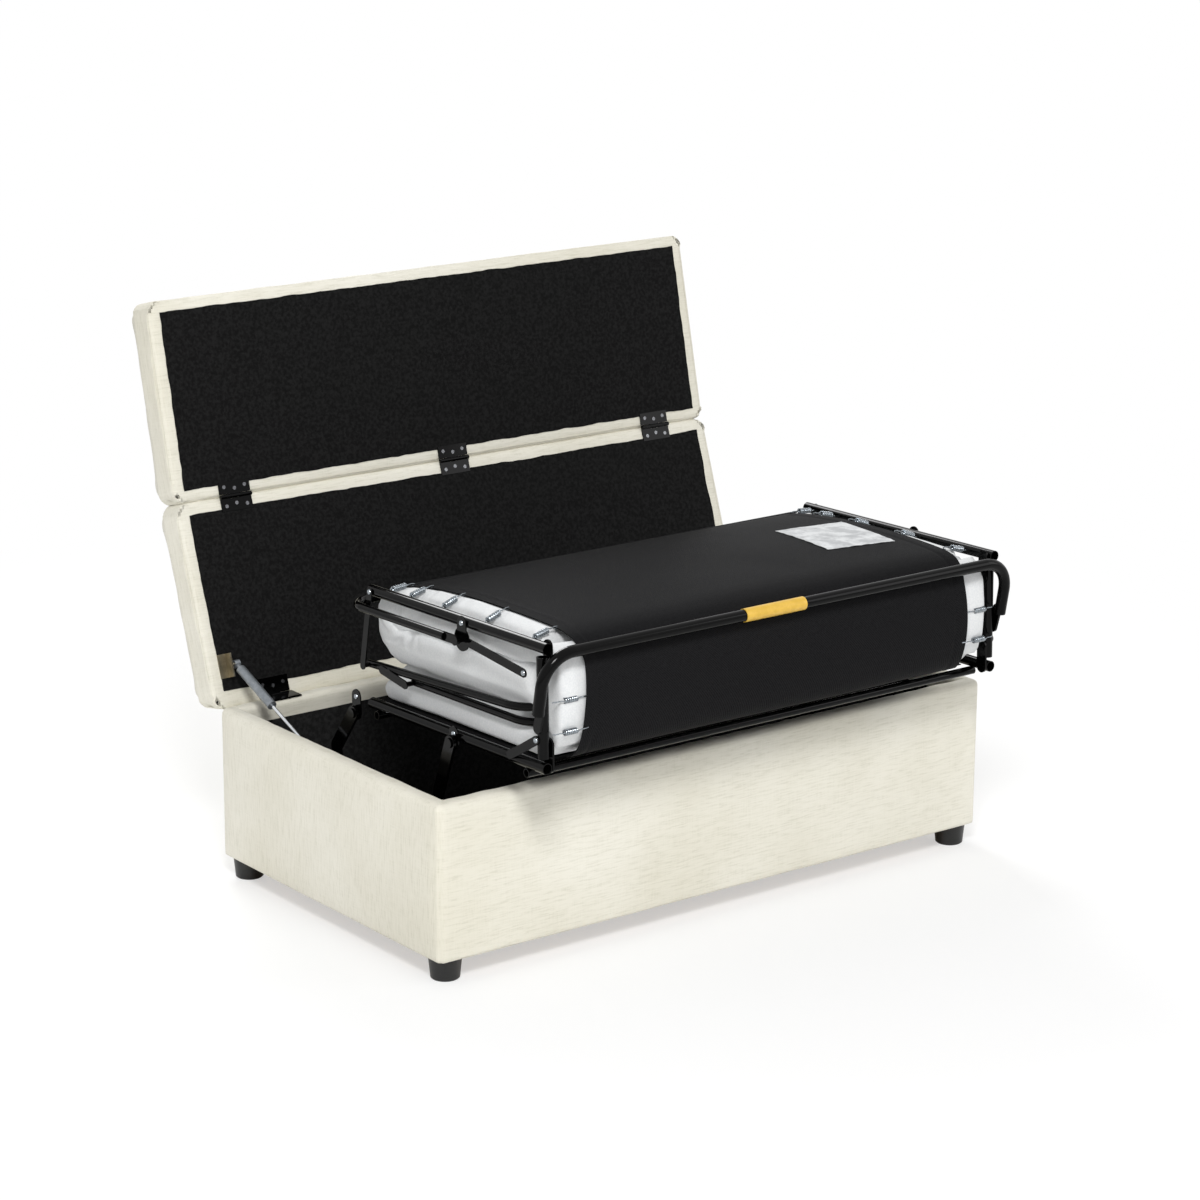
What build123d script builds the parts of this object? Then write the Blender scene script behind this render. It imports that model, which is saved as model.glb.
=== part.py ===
from math import atan2, cos, degrees, hypot, pi, radians, sin, sqrt
import os

from build123d import *

# Fold-out ottoman bed. X runs along the ottoman, Y from front to back, Z up, origin on the floor
# under the middle of the box. The lid is drawn shut and then swung open, and the raised bed is
# drawn level and then leaned back by its own small tilt.

# The box
box_length = 1120
box_depth = 632
rim_height = 292
foot_height = 35
cover_thickness = 12
rim_padding = 6
rim_wrap = 25
board_thickness = 16
lining_thickness = 2
floor_thickness = 6
box_corner_radius = 12
rim_radius = 5
foot_top_radius = 26.5
foot_bottom_radius = 23
foot_edge_chamfer = 2
foot_inset = 6

# The lid, in two halves
lid_half_depth = 335
lid_thickness = 100
lid_gap = 4.4
lid_board_thickness = 12
lid_board_inset = 9
lid_wrap = 1
lid_side_margin = 21
lid_edge_margin = 19
lid_fold_gap = 2
lid_crown = 7
lid_tuck = 4
lid_nose = 16
lid_open_angle = 109.17
lid_fold_rest_angle = 6.25

# Hinges of the lid
hinge_width = 60
hinge_end_margin = 115
leaf_thickness = 2
base_leaf_depth = 32
fold_leaf_depth = 25
knuckle_radius = 4
fold_knuckle_radius = 3.5
hinge_pin_radius = 1.6
hinge_play = 0.1
hinge_gap = 0.5
base_pin_offset = 4.5

# Gas struts
strut_wall_gap = 18
strut_foot_inset = 211
strut_foot_drop = 35
strut_head_along = 60
strut_head_out = 12
strut_cylinder_length = 118
strut_cylinder_radius = 8
strut_bore_radius = 6.6
strut_rod_radius = 3
strut_piston_radius = 6.5
strut_piston_length = 8
strut_gland_length = 7
strut_gland_clearance = 0.1
strut_eye_radius = 7
strut_eye_width = 10
strut_stud_radius = 3.5
strut_neck_radius = 4
strut_neck_length = 8
strut_plate_thickness = 2.5
strut_plate_width = 34
strut_plate_height = 40
strut_travel_reserve = 6

# The bed: rails, joints between its sections
rail_radius = 9
rail_wall = 1.5
rail_wall_margin = 77
top_rail_rise = 187
lower_rail_rise = 68
front_rail_y = -438
rail_stub = 14
lower_rail_stub = 9
top_rail_back_y = 15
lower_rail_back_y = 20
section_gap = 6
bed_tilt = 1.5
side_clearance = 0.4
plate_thickness = 2.2
rivet_radius = 4.5
rivet_height = 1.2
rivet_taper = 30
joint_plate_radius = 10
joint_plate_thickness = 3.5

# Lift arms
front_pivot_y = -220
front_pivot_drop = 8
rear_pivot_y = 50
rear_pivot_drop = 28
arm_length = 188.3
arm_lean = 9
arm_out = 15
arm_thickness = 5
arm_radius = 12
front_knee_out = 3
front_knee_up = 96
rear_knee_out = 21
rear_knee_up = 118
arm_pin_radius = 5
arm_pin_play = 0.1
arm_head_radius = 8
arm_head_thickness = 2
arm_boss_radius = 12
arm_plate_thickness = 3
arm_plate_width = 70
arm_plate_height = 56
arm_plate_corner = 8
arm_gap = 0.5
pivot_plate_top = 10

# Cloth, springs and mattress
sling_thickness = 2.5
top_sling_margin = 57
top_sling_edge_drop = 1
top_sling_crown = 9
sling_front_radius = 30
sling_edge_gap = 4
inner_sling_margin = 33
front_sling_margin = 65
front_sling_out = 11
front_sling_rise = 6
mattress_margin = 16
mattress_layer = 45
mattress_slit = 2
mattress_nose = 12
mattress_back_y = 8
mattress_fold_out = 30
mattress_front_y = -408
mattress_top_drop = 4
lower_mattress_thickness = 39
lower_mattress_front_y = -436
lower_mattress_back_y = 30
front_mattress_thickness = 33
soft_gap = 0.4
spring_wire_radius = 0.9
spring_coil_radius = 4.2
spring_turns = 3
spring_pitch = 5
spring_turn_in = 4.5
spring_facets = 3

# Pull bar
bar_radius = 9.5
bar_out = 17
bar_bend = 52
bar_top_y = -468
bar_top_drop = 6
bar_foot_y = -449
bar_foot_drop = 99
bar_tongue_drop = 24
bar_tongue_width = 17
bar_tongue_thickness = 4
sleeve_wall = 1.2
sleeve_from_x = -90
sleeve_to_x = 30

# Inner frame, inner leg and middle leg
inner_tube_radius = 6.5
cross_tube_wall = 1.2
inner_frame_margin = 7
inner_frame_back_rise = 61
inner_frame_front_rise = 78
inner_leg_margin = 21
inner_leg_rise = 50
inner_front_y = -398
inner_frame_back_y = 36
inner_leg_back_y = -68
inner_bend = 60
leg_pivot_y = -247
leg_pivot_drop = 25
leg_out = 21
leg_tube_radius = 7
leg_cross_y = 52
leg_bend = 40
leg_tongue_length = 30
leg_tongue_thickness = 4
leg_disc_radius = 19
leg_link_y = -405
leg_link_drop = 45
leg_link_width = 14
lever_bend_y = -396
lever_bend_rise = 22
lever_top_y = -434
lever_top_rise = 44
lever_end_y = -366
lever_end_rise = 6
lever_width = 14
back_link_y = 4
back_link_width = 13
inner_link_width = 14
inner_link_pin_radius = 4

# Where the springs stand along the top rails and up the front uprights, and the cross tubes
spring_shares = [0.095, 0.36, 0.614, 0.812, 0.934]
front_spring_shares = [0.556, 0.289]
swell_share = 1 / 3
round_share = sqrt(1 / 2)
cross_tube_radius = 7
cross_tube_front_y = -400
cross_tube_back_y = 2
cross_tube_end_gap = 4
cut_overrun = 5

half_length = box_length / 2
half_depth = box_depth / 2
board_half_length = half_length - cover_thickness
board_half_depth = half_depth - cover_thickness
inner_half_length = board_half_length - board_thickness - lining_thickness
inner_half_depth = board_half_depth - board_thickness - lining_thickness
floor_top = foot_height + floor_thickness
board_top = rim_height - rim_padding
lip_bottom = board_top - rim_wrap
hinge_spread = half_length - hinge_end_margin
strut_x = inner_half_length - strut_wall_gap
strut_foot_y = half_depth - strut_foot_inset
strut_foot_z = rim_height - strut_foot_drop

# Places of the bed, from the box that it folds into
lower_rail_z = rim_height + lower_rail_rise
top_rail_z = lower_rail_z + top_rail_rise
front_pivot_z = lower_rail_z - front_pivot_drop
rear_pivot_z = lower_rail_z - rear_pivot_drop
rail_x = inner_half_length - rail_wall_margin
arm_x = rail_x + arm_out
bar_x = rail_x + bar_out
leg_x = rail_x + leg_out
inner_frame_x = rail_x - inner_frame_margin
inner_leg_x = rail_x - inner_leg_margin
mattress_half_width = rail_x - mattress_margin
inner_sling_half_width = rail_x - inner_sling_margin
top_sling_half_width = rail_x - top_sling_margin
front_sling_half_width = rail_x - front_sling_margin
top_sling_edge_z = top_rail_z - top_sling_edge_drop
mattress_top_z = top_rail_z - mattress_top_drop
bar_top_z = top_rail_z - bar_top_drop
bar_foot_z = top_rail_z - bar_foot_drop
leg_pivot_z = top_rail_z - leg_pivot_drop
leg_link_z = top_rail_z - leg_link_drop
front_sling_low_z = lower_rail_z + front_sling_rise
inner_frame_back_z = lower_rail_z + inner_frame_back_rise
inner_frame_front_z = lower_rail_z + inner_frame_front_rise
inner_leg_z = lower_rail_z + inner_leg_rise
lever_bend_z = lower_rail_z + lever_bend_rise
lever_top_z = lower_rail_z + lever_top_rise
lever_end_z = lower_rail_z + lever_end_rise

lid_bottom = rim_height + lid_gap
base_pin_y = half_depth + base_pin_offset
base_pin_z = rim_height + leaf_thickness - knuckle_radius
fold_pin_y = half_depth - lid_half_depth - lid_fold_gap / 2
fold_pin_z = lid_bottom - fold_knuckle_radius
base_pin = (base_pin_y, base_pin_z)
fold_pin = (fold_pin_y, fold_pin_z)
lid_open = [(base_pin, -lid_open_angle)]
front_lid_open = [(fold_pin, lid_fold_rest_angle), (base_pin, -lid_open_angle)]
bed_lean = [((front_pivot_y, front_pivot_z), -bed_tilt)]

os.makedirs("parts", exist_ok=True)


# A place turned about the X direction through another place, in degrees.
def turned(place, centre, angle):
    y = place[0] - centre[0]
    z = place[1] - centre[1]
    c = cos(radians(angle))
    s = sin(radians(angle))
    return (centre[0] + y * c - z * s, centre[1] + y * s + z * c)


# Swings a piece from where it is drawn to where it stands, names it and writes it.
def save(piece, label, swings=()):
    for (y, z), angle in swings:
        piece = piece.rotate(Axis((0, y, z), (1, 0, 0)), angle)
    piece.label = label
    export_step(piece, "parts/" + label + ".step")


# A round bar along X, added to or cut from the part that is being built.
def bar_along_x(x_from, x_to, place, radius, mode=Mode.ADD):
    with BuildSketch(Plane.YZ.offset(x_from)) as ring:
        with Locations(place):
            Circle(radius)
    extrude(ring.sketch, amount=x_to - x_from, mode=mode)


# A flat link of even width between two places, its faces across X.
def link_plate(x_from, x_to, start, end, width, mode=Mode.ADD):
    length = hypot(end[0] - start[0], end[1] - start[1])
    angle = degrees(atan2(end[1] - start[1], end[0] - start[0]))
    middle = ((start[0] + end[0]) / 2, (start[1] + end[1]) / 2)
    with BuildSketch(Plane.YZ.offset(x_from)) as outline:
        with Locations(middle):
            SlotCenterToCenter(length, width, rotation=angle)
    extrude(outline.sketch, amount=x_to - x_from, mode=mode)


# A box given by its lowest and highest corners.
def block(low, high, mode=Mode.ADD):
    middle = [(a + b) / 2 for a, b in zip(low, high)]
    size = [b - a for a, b in zip(low, high)]
    with Locations(tuple(middle)):
        Box(*size, mode=mode)


# A bent tube along straight runs joined by arcs. Its ends are closed, so it is drawn solid.
def tube(points, bend, radius):
    with BuildLine() as route:
        FilletPolyline(*points, radius=bend)
    start = Plane(origin=route.line @ 0, z_dir=route.line % 0)
    with BuildSketch(start) as ring:
        Circle(radius)
    sweep(ring.sketch, path=route.line)


# A straight tube between two places on one side of the bed.
def straight_tube(start, end, radius, wall):
    way = Vector(*end) - Vector(*start)
    with BuildSketch(Plane(origin=start, z_dir=way)) as ring:
        Circle(radius)
        Circle(radius - wall, mode=Mode.SUBTRACT)
    extrude(ring.sketch, amount=way.length)


# A stuffed block: drawn in at its base, swelling sides, a crowned top and rounded ends.
def padded(y_from, y_to, z_low, z_high, half_width, tuck, nose, crown):
    middle = (y_from + y_to) / 2
    swell = z_low + (z_high - z_low) * swell_share
    shoulder = z_high - crown
    with BuildSketch(Plane.YZ.offset(-half_width)) as side:
        with BuildLine():
            Line((y_from + tuck, z_low), (y_to - tuck, z_low))
            ThreePointArc((y_to - tuck, z_low), (y_to, swell), (y_to - nose, shoulder))
            ThreePointArc((y_to - nose, shoulder), (middle, z_high), (y_from + nose, shoulder))
            ThreePointArc((y_from + nose, shoulder), (y_from, swell), (y_from + tuck, z_low))
        make_face()
    with BuildSketch(Plane.XZ.offset(-y_to)) as front:
        with BuildLine():
            Line((-half_width + tuck, z_low), (half_width - tuck, z_low))
            ThreePointArc((half_width - tuck, z_low), (half_width, swell), (half_width - nose, shoulder))
            ThreePointArc((half_width - nose, shoulder), (0, z_high), (-half_width + nose, shoulder))
            ThreePointArc((-half_width + nose, shoulder), (-half_width, swell), (-half_width + tuck, z_low))
        make_face()
    extrude(side.sketch, amount=2 * half_width)
    extrude(front.sketch, amount=y_to - y_from, mode=Mode.INTERSECT)


# The box: floor, four boards, padded cover, lining and feet
with BuildPart() as base_floor:
    with BuildSketch(Plane.XY.offset(foot_height)):
        Rectangle(2 * board_half_length, 2 * board_half_depth)
    extrude(amount=floor_thickness)
save(base_floor.part, "base_floor")

for side, sign in (("front", -1), ("back", 1)):
    with BuildPart() as board:
        with BuildSketch(Plane.XY.offset(floor_top)):
            with Locations((0, sign * (board_half_depth - board_thickness / 2))):
                Rectangle(2 * board_half_length, board_thickness)
        extrude(amount=board_top - floor_top)
    save(board.part, "base_board_" + side)

for side, sign in (("left", -1), ("right", 1)):
    with BuildPart() as board:
        with BuildSketch(Plane.XY.offset(floor_top)):
            with Locations((sign * (board_half_length - board_thickness / 2), 0)):
                Rectangle(board_thickness, 2 * (board_half_depth - board_thickness))
        extrude(amount=board_top - floor_top)
    save(board.part, "base_board_" + side)

with BuildPart() as base_cover:
    with BuildSketch(Plane.XY.offset(foot_height)):
        RectangleRounded(box_length, box_depth, box_corner_radius)
        Rectangle(2 * board_half_length, 2 * board_half_depth, mode=Mode.SUBTRACT)
    extrude(amount=rim_height - foot_height)
    with BuildSketch(Plane.XY.offset(board_top)):
        Rectangle(2 * board_half_length, 2 * board_half_depth)
        Rectangle(2 * inner_half_length, 2 * inner_half_depth, mode=Mode.SUBTRACT)
    extrude(amount=rim_padding)
    with BuildSketch(Plane.XY.offset(lip_bottom)):
        Rectangle(2 * (inner_half_length + lining_thickness), 2 * (inner_half_depth + lining_thickness))
        Rectangle(2 * inner_half_length, 2 * inner_half_depth, mode=Mode.SUBTRACT)
    extrude(amount=board_top - lip_bottom)
    top_face = base_cover.faces().sort_by(Axis.Z)[-1]
    fillet(top_face.outer_wire().edges(), radius=rim_radius)
save(base_cover.part, "base_cover")

with BuildPart() as base_lining:
    with BuildSketch(Plane.XY.offset(floor_top)):
        Rectangle(2 * (inner_half_length + lining_thickness), 2 * (inner_half_depth + lining_thickness))
        Rectangle(2 * inner_half_length, 2 * inner_half_depth, mode=Mode.SUBTRACT)
    extrude(amount=lip_bottom - floor_top)
save(base_lining.part, "base_lining")

foot_x = half_length - foot_inset - foot_top_radius
foot_y = half_depth - foot_inset - foot_top_radius
foot_signs = {"front_left": (-1, -1), "front_right": (1, -1), "back_left": (-1, 1), "back_right": (1, 1)}
for corner, (x_sign, y_sign) in foot_signs.items():
    with BuildPart() as foot:
        with Locations((x_sign * foot_x, y_sign * foot_y, foot_height / 2)):
            Cone(foot_bottom_radius, foot_top_radius, foot_height)
        chamfer(foot.edges().group_by(Axis.Z)[0], length=foot_edge_chamfer)
    save(foot.part, "foot_" + corner)


# One leaf of a butt hinge, with its share of the three knuckles, at each place along X.
# reach is how far the plate goes from the pin, and may be negative.
def hinge_leaves(pin, radius, plate_low, reach, outer_knuckles, with_pin):
    step = hinge_width / 3
    away = 1 if reach > 0 else -1
    clear = away * (radius + hinge_gap)
    plate_high = plate_low + leaf_thickness
    for x in (-hinge_spread, 0, hinge_spread):
        y_near, y_far = sorted((pin[0] + clear, pin[0] + reach))
        block((x - hinge_width / 2, y_near, plate_low), (x + hinge_width / 2, y_far, plate_high))
        spans = [-step, step] if outer_knuckles else [0]
        for centre in spans:
            low = x + centre - step / 2 + hinge_play
            high = x + centre + step / 2 - hinge_play
            y_near, y_far = sorted((pin[0], pin[0] + 2 * clear))
            z_near, z_far = sorted((pin[1], plate_high))
            tongue_z = max(z_near, plate_high - knuckle_radius - leaf_thickness)
            block((low, y_near, plate_low), (high, y_far, plate_high))
            if plate_low > pin[1] + radius:
                web = sorted((pin[0], pin[0] + away * leaf_thickness))
                block((low, web[0], tongue_z), (high, web[1], z_far))
            bar_along_x(low, high, pin, radius)
        if with_pin:
            bar_along_x(x - hinge_width / 2, x + hinge_width / 2, pin, hinge_pin_radius)
        else:
            for centre in spans:
                low = x + centre - step / 2
                bar_along_x(low, low + step, pin, hinge_pin_radius + hinge_play, Mode.SUBTRACT)


with BuildPart() as base_hinge_leaves:
    hinge_leaves(base_pin, knuckle_radius, rim_height, -base_leaf_depth, True, True)
save(base_hinge_leaves.part, "base_hinge_leaves")

# Rear half of the lid
rear_lid_from = half_depth - lid_half_depth
front_lid_to = rear_lid_from - lid_fold_gap
front_lid_from = front_lid_to - lid_half_depth


# Board, cushion and lining of one half of the lid, drawn shut.
def lid_half(y_from, y_to, name, swings):
    board_low = lid_bottom + lid_wrap
    board_high = board_low + lid_board_thickness
    board_x = half_length - lid_board_inset
    board_from = y_from + lid_board_inset
    board_to = y_to - lid_board_inset
    lining_x = half_length - lid_side_margin
    lining_from = y_from + lid_edge_margin
    lining_to = y_to - lid_edge_margin
    with BuildPart() as lid_board:
        block((-board_x, board_from, board_low), (board_x, board_to, board_high))
    save(lid_board.part, name + "_board", swings)
    with BuildPart() as lid_cushion:
        padded(y_from, y_to, lid_bottom, lid_bottom + lid_thickness, half_length,
               lid_tuck, lid_nose, lid_crown)
        block((-board_x, board_from, board_low), (board_x, board_to, board_high), Mode.SUBTRACT)
        block((-lining_x, lining_from, lid_bottom), (lining_x, lining_to, board_low), Mode.SUBTRACT)
    save(lid_cushion.part, name + "_cushion", swings)
    with BuildPart() as lid_lining:
        block((-lining_x, lining_from, lid_bottom), (lining_x, lining_to, board_low))
    save(lid_lining.part, name + "_lining", swings)


lid_half(rear_lid_from, half_depth, "rear_lid", lid_open)
lid_half(front_lid_from, front_lid_to, "front_lid", front_lid_open)

with BuildPart() as rear_lid_base_leaves:
    hinge_leaves(base_pin, knuckle_radius, lid_bottom - leaf_thickness, -base_leaf_depth, False, False)
save(rear_lid_base_leaves.part, "rear_lid_base_leaves", lid_open)

with BuildPart() as rear_lid_fold_leaves:
    hinge_leaves(fold_pin, fold_knuckle_radius, lid_bottom - leaf_thickness, fold_leaf_depth, True, True)
save(rear_lid_fold_leaves.part, "rear_lid_fold_leaves", lid_open)

with BuildPart() as front_lid_fold_leaves:
    hinge_leaves(fold_pin, fold_knuckle_radius, lid_bottom - leaf_thickness, -fold_leaf_depth, False, False)
save(front_lid_fold_leaves.part, "front_lid_fold_leaves", front_lid_open)

# Gas struts. The head's place follows the open lid, the foot's stands on the side wall.
closed_head = (half_depth - strut_head_along, lid_bottom - strut_head_out)
strut_foot = (strut_foot_y, strut_foot_z)
strut_head = turned(closed_head, base_pin, -lid_open_angle)
strut_length = hypot(strut_head[0] - strut_foot[0], strut_head[1] - strut_foot[1])
strut_angle = degrees(atan2(strut_head[1] - strut_foot[1], strut_head[0] - strut_foot[0]))
lay_strut = [(strut_foot, strut_angle)]

with BuildPart() as strut_rods:
    for x in (-strut_x, strut_x):
        rod_end = strut_length - strut_cylinder_length + strut_gland_length + strut_travel_reserve
        bar_along_x(x - strut_eye_width / 2, x + strut_eye_width / 2, strut_foot, strut_eye_radius)
        with BuildSketch(Plane.XZ.offset(-strut_foot_y)) as rod_section:
            with Locations((x, strut_foot_z)):
                Circle(strut_rod_radius)
        extrude(rod_section.sketch, amount=-rod_end)
        with BuildSketch(Plane.XZ.offset(-strut_foot_y - rod_end)) as piston_section:
            with Locations((x, strut_foot_z)):
                Circle(strut_piston_radius)
        extrude(piston_section.sketch, amount=-strut_piston_length)
        bar_along_x(x - strut_eye_width, x + strut_eye_width, strut_foot,
                    strut_stud_radius + hinge_play, Mode.SUBTRACT)
save(strut_rods.part, "strut_rods", lay_strut)

with BuildPart() as strut_cylinders:
    for x in (-strut_x, strut_x):
        mouth = strut_foot_y + strut_length - strut_cylinder_length
        head = strut_foot_y + strut_length
        cap = head - strut_eye_radius - strut_neck_length
        bore_from = mouth + strut_gland_length
        bore_to = cap - strut_gland_length
        for y_from, y_to, radius, mode in (
            (mouth, cap, strut_cylinder_radius, Mode.ADD),
            (cap, head, strut_neck_radius, Mode.ADD),
            (bore_from, bore_to, strut_bore_radius, Mode.SUBTRACT),
            (mouth - cut_overrun, bore_from + cut_overrun, strut_rod_radius + strut_gland_clearance,
             Mode.SUBTRACT),
        ):
            with BuildSketch(Plane.XZ.offset(-y_from)) as strut_section:
                with Locations((x, strut_foot_z)):
                    Circle(radius)
            extrude(strut_section.sketch, amount=y_from - y_to, mode=mode)
        bar_along_x(x - strut_eye_width / 2, x + strut_eye_width / 2, (head, strut_foot_z), strut_eye_radius)
save(strut_cylinders.part, "strut_cylinders", lay_strut)

with BuildPart() as strut_wall_brackets:
    for sign in (-1, 1):
        wall_x = sign * inner_half_length
        plate_x = sign * (inner_half_length - strut_plate_thickness)
        stud_end = sign * (strut_x - strut_eye_width / 2 - leaf_thickness)
        low_x, high_x = sorted((wall_x, plate_x))
        block((low_x, strut_foot_y - strut_plate_height / 2, strut_foot_z - strut_plate_width / 2),
              (high_x, strut_foot_y + strut_plate_height / 2, strut_foot_z + strut_plate_width / 2))
        bar_along_x(plate_x, stud_end, strut_foot, strut_stud_radius)
        bar_along_x(stud_end, stud_end + sign * (leaf_thickness - side_clearance), strut_foot, strut_eye_radius)
save(strut_wall_brackets.part, "strut_wall_brackets")

with BuildPart() as strut_lid_brackets:
    for sign in (-1, 1):
        inner_x = sign * (strut_x + strut_eye_width)
        outer_x = inner_x + sign * strut_plate_thickness
        flange_x = inner_x + sign * strut_plate_width / 2
        y_low = closed_head[0] - strut_plate_height / 2
        y_high = closed_head[0] + strut_plate_height / 2
        z_low = closed_head[1] - strut_eye_radius
        low_x, high_x = sorted((inner_x, outer_x))
        block((low_x, y_low, z_low), (high_x, y_high, lid_bottom))
        low_x, high_x = sorted((inner_x, flange_x))
        block((low_x, y_low, lid_bottom - strut_plate_thickness), (high_x, y_high, lid_bottom))
        stud_end = sign * (strut_x + strut_eye_width / 2 + side_clearance)
        bar_along_x(inner_x, stud_end, closed_head, strut_stud_radius)
save(strut_lid_brackets.part, "strut_lid_brackets", lid_open)

# Lift arms: flat bars with a gentle crank, on pins that stand off the side walls
front_pivot = (front_pivot_y, front_pivot_z)
rear_pivot = (rear_pivot_y, rear_pivot_z)
lean_y = arm_length * sin(radians(arm_lean))
lean_z = arm_length * cos(radians(arm_lean))
front_root = (front_pivot_y + lean_y, front_pivot_z - lean_z)
rear_root = (rear_pivot_y + lean_y, rear_pivot_z - lean_z)
front_knee = (front_root[0] + front_knee_out, front_root[1] + front_knee_up)
rear_knee = (rear_root[0] + rear_knee_out, rear_root[1] + rear_knee_up)


def lift_arms(top, knee, root):
    for sign in (-1, 1):
        near = sign * arm_x
        far = sign * (arm_x + arm_thickness)
        link_plate(near, far, top, knee, 2 * arm_radius)
        link_plate(near, far, knee, root, 2 * arm_radius)
        for hole in (top, root):
            bar_along_x(near - sign * cut_overrun, far + sign * cut_overrun, hole,
                        arm_pin_radius + arm_pin_play, Mode.SUBTRACT)


with BuildPart() as front_lift_arms:
    lift_arms(front_pivot, front_knee, front_root)
save(front_lift_arms.part, "front_lift_arms")

with BuildPart() as rear_lift_arms:
    lift_arms(rear_pivot, rear_knee, rear_root)
save(rear_lift_arms.part, "rear_lift_arms")

with BuildPart() as arm_wall_brackets:
    for sign in (-1, 1):
        for root in (front_root, rear_root):
            wall_x = sign * inner_half_length
            plate_x = sign * (inner_half_length - arm_plate_thickness)
            boss_x = sign * (arm_x + arm_thickness + arm_gap)
            pin_x = sign * (arm_x - arm_gap)
            with BuildSketch(Plane.YZ.offset(min(wall_x, plate_x))) as wall_plate:
                with Locations(root):
                    RectangleRounded(arm_plate_width, arm_plate_height, arm_plate_corner)
            extrude(wall_plate.sketch, amount=arm_plate_thickness)
            bar_along_x(plate_x, boss_x, root, arm_boss_radius)
            bar_along_x(boss_x, pin_x, root, arm_pin_radius)
            bar_along_x(pin_x, pin_x - sign * arm_head_thickness, root, arm_head_radius)
save(arm_wall_brackets.part, "arm_wall_brackets")

# Lower section of the bed
rail_side = rail_x + rail_radius
plate_x = rail_side + side_clearance

with BuildPart() as lower_rails:
    for sign in (-1, 1):
        x = sign * rail_x
        straight_tube((x, front_rail_y - lower_rail_stub, lower_rail_z),
                      (x, lower_rail_back_y, lower_rail_z), rail_radius, rail_wall)
save(lower_rails.part, "lower_rails", bed_lean)

with BuildPart() as lower_cross_tubes:
    cross_z = lower_rail_z - rail_radius - cross_tube_radius - side_clearance
    for y in (cross_tube_front_y, cross_tube_back_y):
        x = rail_side - cross_tube_end_gap
        straight_tube((-x, y, cross_z), (x, y, cross_z), cross_tube_radius, cross_tube_wall)
save(lower_cross_tubes.part, "lower_cross_tubes", bed_lean)

with BuildPart() as lower_pivot_plates:
    for sign in (-1, 1):
        near = sign * plate_x
        far = sign * (plate_x + plate_thickness)
        for pivot in (front_pivot, turned(rear_pivot, front_pivot, bed_tilt)):
            anchor = (pivot[0], lower_rail_z + pivot_plate_top - rivet_radius)
            foot = (pivot[0], min(pivot[1], anchor[1] - rivet_radius))
            link_plate(near, far, anchor, foot, 2 * arm_radius)
            pin_x = sign * (arm_x + arm_thickness + arm_gap)
            bar_along_x(far, pin_x, pivot, arm_pin_radius)
            bar_along_x(pin_x, pin_x + sign * arm_head_thickness, pivot, arm_head_radius)
save(lower_pivot_plates.part, "lower_pivot_plates", bed_lean)

with BuildPart() as lower_sling:
    sling_x = rail_x - rail_radius - side_clearance
    block((-sling_x, front_rail_y + joint_plate_radius + section_gap, lower_rail_z - sling_thickness),
          (sling_x, lower_rail_back_y, lower_rail_z))
save(lower_sling.part, "lower_sling", bed_lean)

with BuildPart() as lower_mattress:
    low = lower_rail_z + side_clearance
    padded(lower_mattress_front_y, lower_mattress_back_y, low, low + lower_mattress_thickness,
           mattress_half_width, lid_tuck, mattress_nose, lid_tuck)
save(lower_mattress.part, "lower_mattress", bed_lean)

# Front section: uprights, joint plates, levers, pull bar, sling and mattress
with BuildPart() as front_rails:
    for sign in (-1, 1):
        x = sign * rail_x
        straight_tube((x, front_rail_y, lower_rail_z + rail_radius + section_gap),
                      (x, front_rail_y, top_rail_z - rail_radius - section_gap), rail_radius, rail_wall)
save(front_rails.part, "front_rails", bed_lean)

with BuildPart() as front_joint_plates:
    for sign in (-1, 1):
        far = sign * (rail_x - rail_radius - side_clearance)
        near = far - sign * joint_plate_thickness
        for z, reach in ((lower_rail_z, 1), (top_rail_z, -1)):
            inner = z + reach * (rail_radius + section_gap + 2 * joint_plate_radius)
            link_plate(near, far, (front_rail_y, z), (front_rail_y, inner), 2 * joint_plate_radius)
save(front_joint_plates.part, "front_joint_plates", bed_lean)

with BuildPart() as front_levers:
    for sign in (-1, 1):
        near = sign * plate_x
        far = sign * (plate_x + plate_thickness)
        link_plate(near, far, (lever_top_y, lever_top_z), (lever_bend_y, lever_bend_z), lever_width)
        link_plate(near, far, (lever_bend_y, lever_bend_z), (lever_end_y, lever_end_z), lever_width)
save(front_levers.part, "front_levers", bed_lean)

with BuildPart() as pull_bar:
    tube([(-bar_x, bar_foot_y, bar_foot_z), (-bar_x, bar_top_y, bar_top_z),
          (bar_x, bar_top_y, bar_top_z), (bar_x, bar_foot_y, bar_foot_z)],
         bar_bend, bar_radius)
    for sign in (-1, 1):
        near = sign * (bar_x - bar_radius + rail_wall + side_clearance)
        far = near + sign * bar_tongue_thickness
        link_plate(near, far, (bar_foot_y, bar_foot_z + bar_tongue_width / 2),
                   (front_rail_y - rivet_height, bar_foot_z - bar_tongue_drop), bar_tongue_width)
save(pull_bar.part, "pull_bar", bed_lean)

with BuildPart() as pull_sleeve:
    with BuildSketch(Plane.YZ.offset(sleeve_from_x)) as sleeve_ring:
        with Locations((bar_top_y, bar_top_z)):
            Circle(bar_radius + sleeve_wall)
            Circle(bar_radius, mode=Mode.SUBTRACT)
    extrude(sleeve_ring.sketch, amount=sleeve_to_x - sleeve_from_x)
save(pull_sleeve.part, "pull_sleeve", bed_lean)

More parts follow.
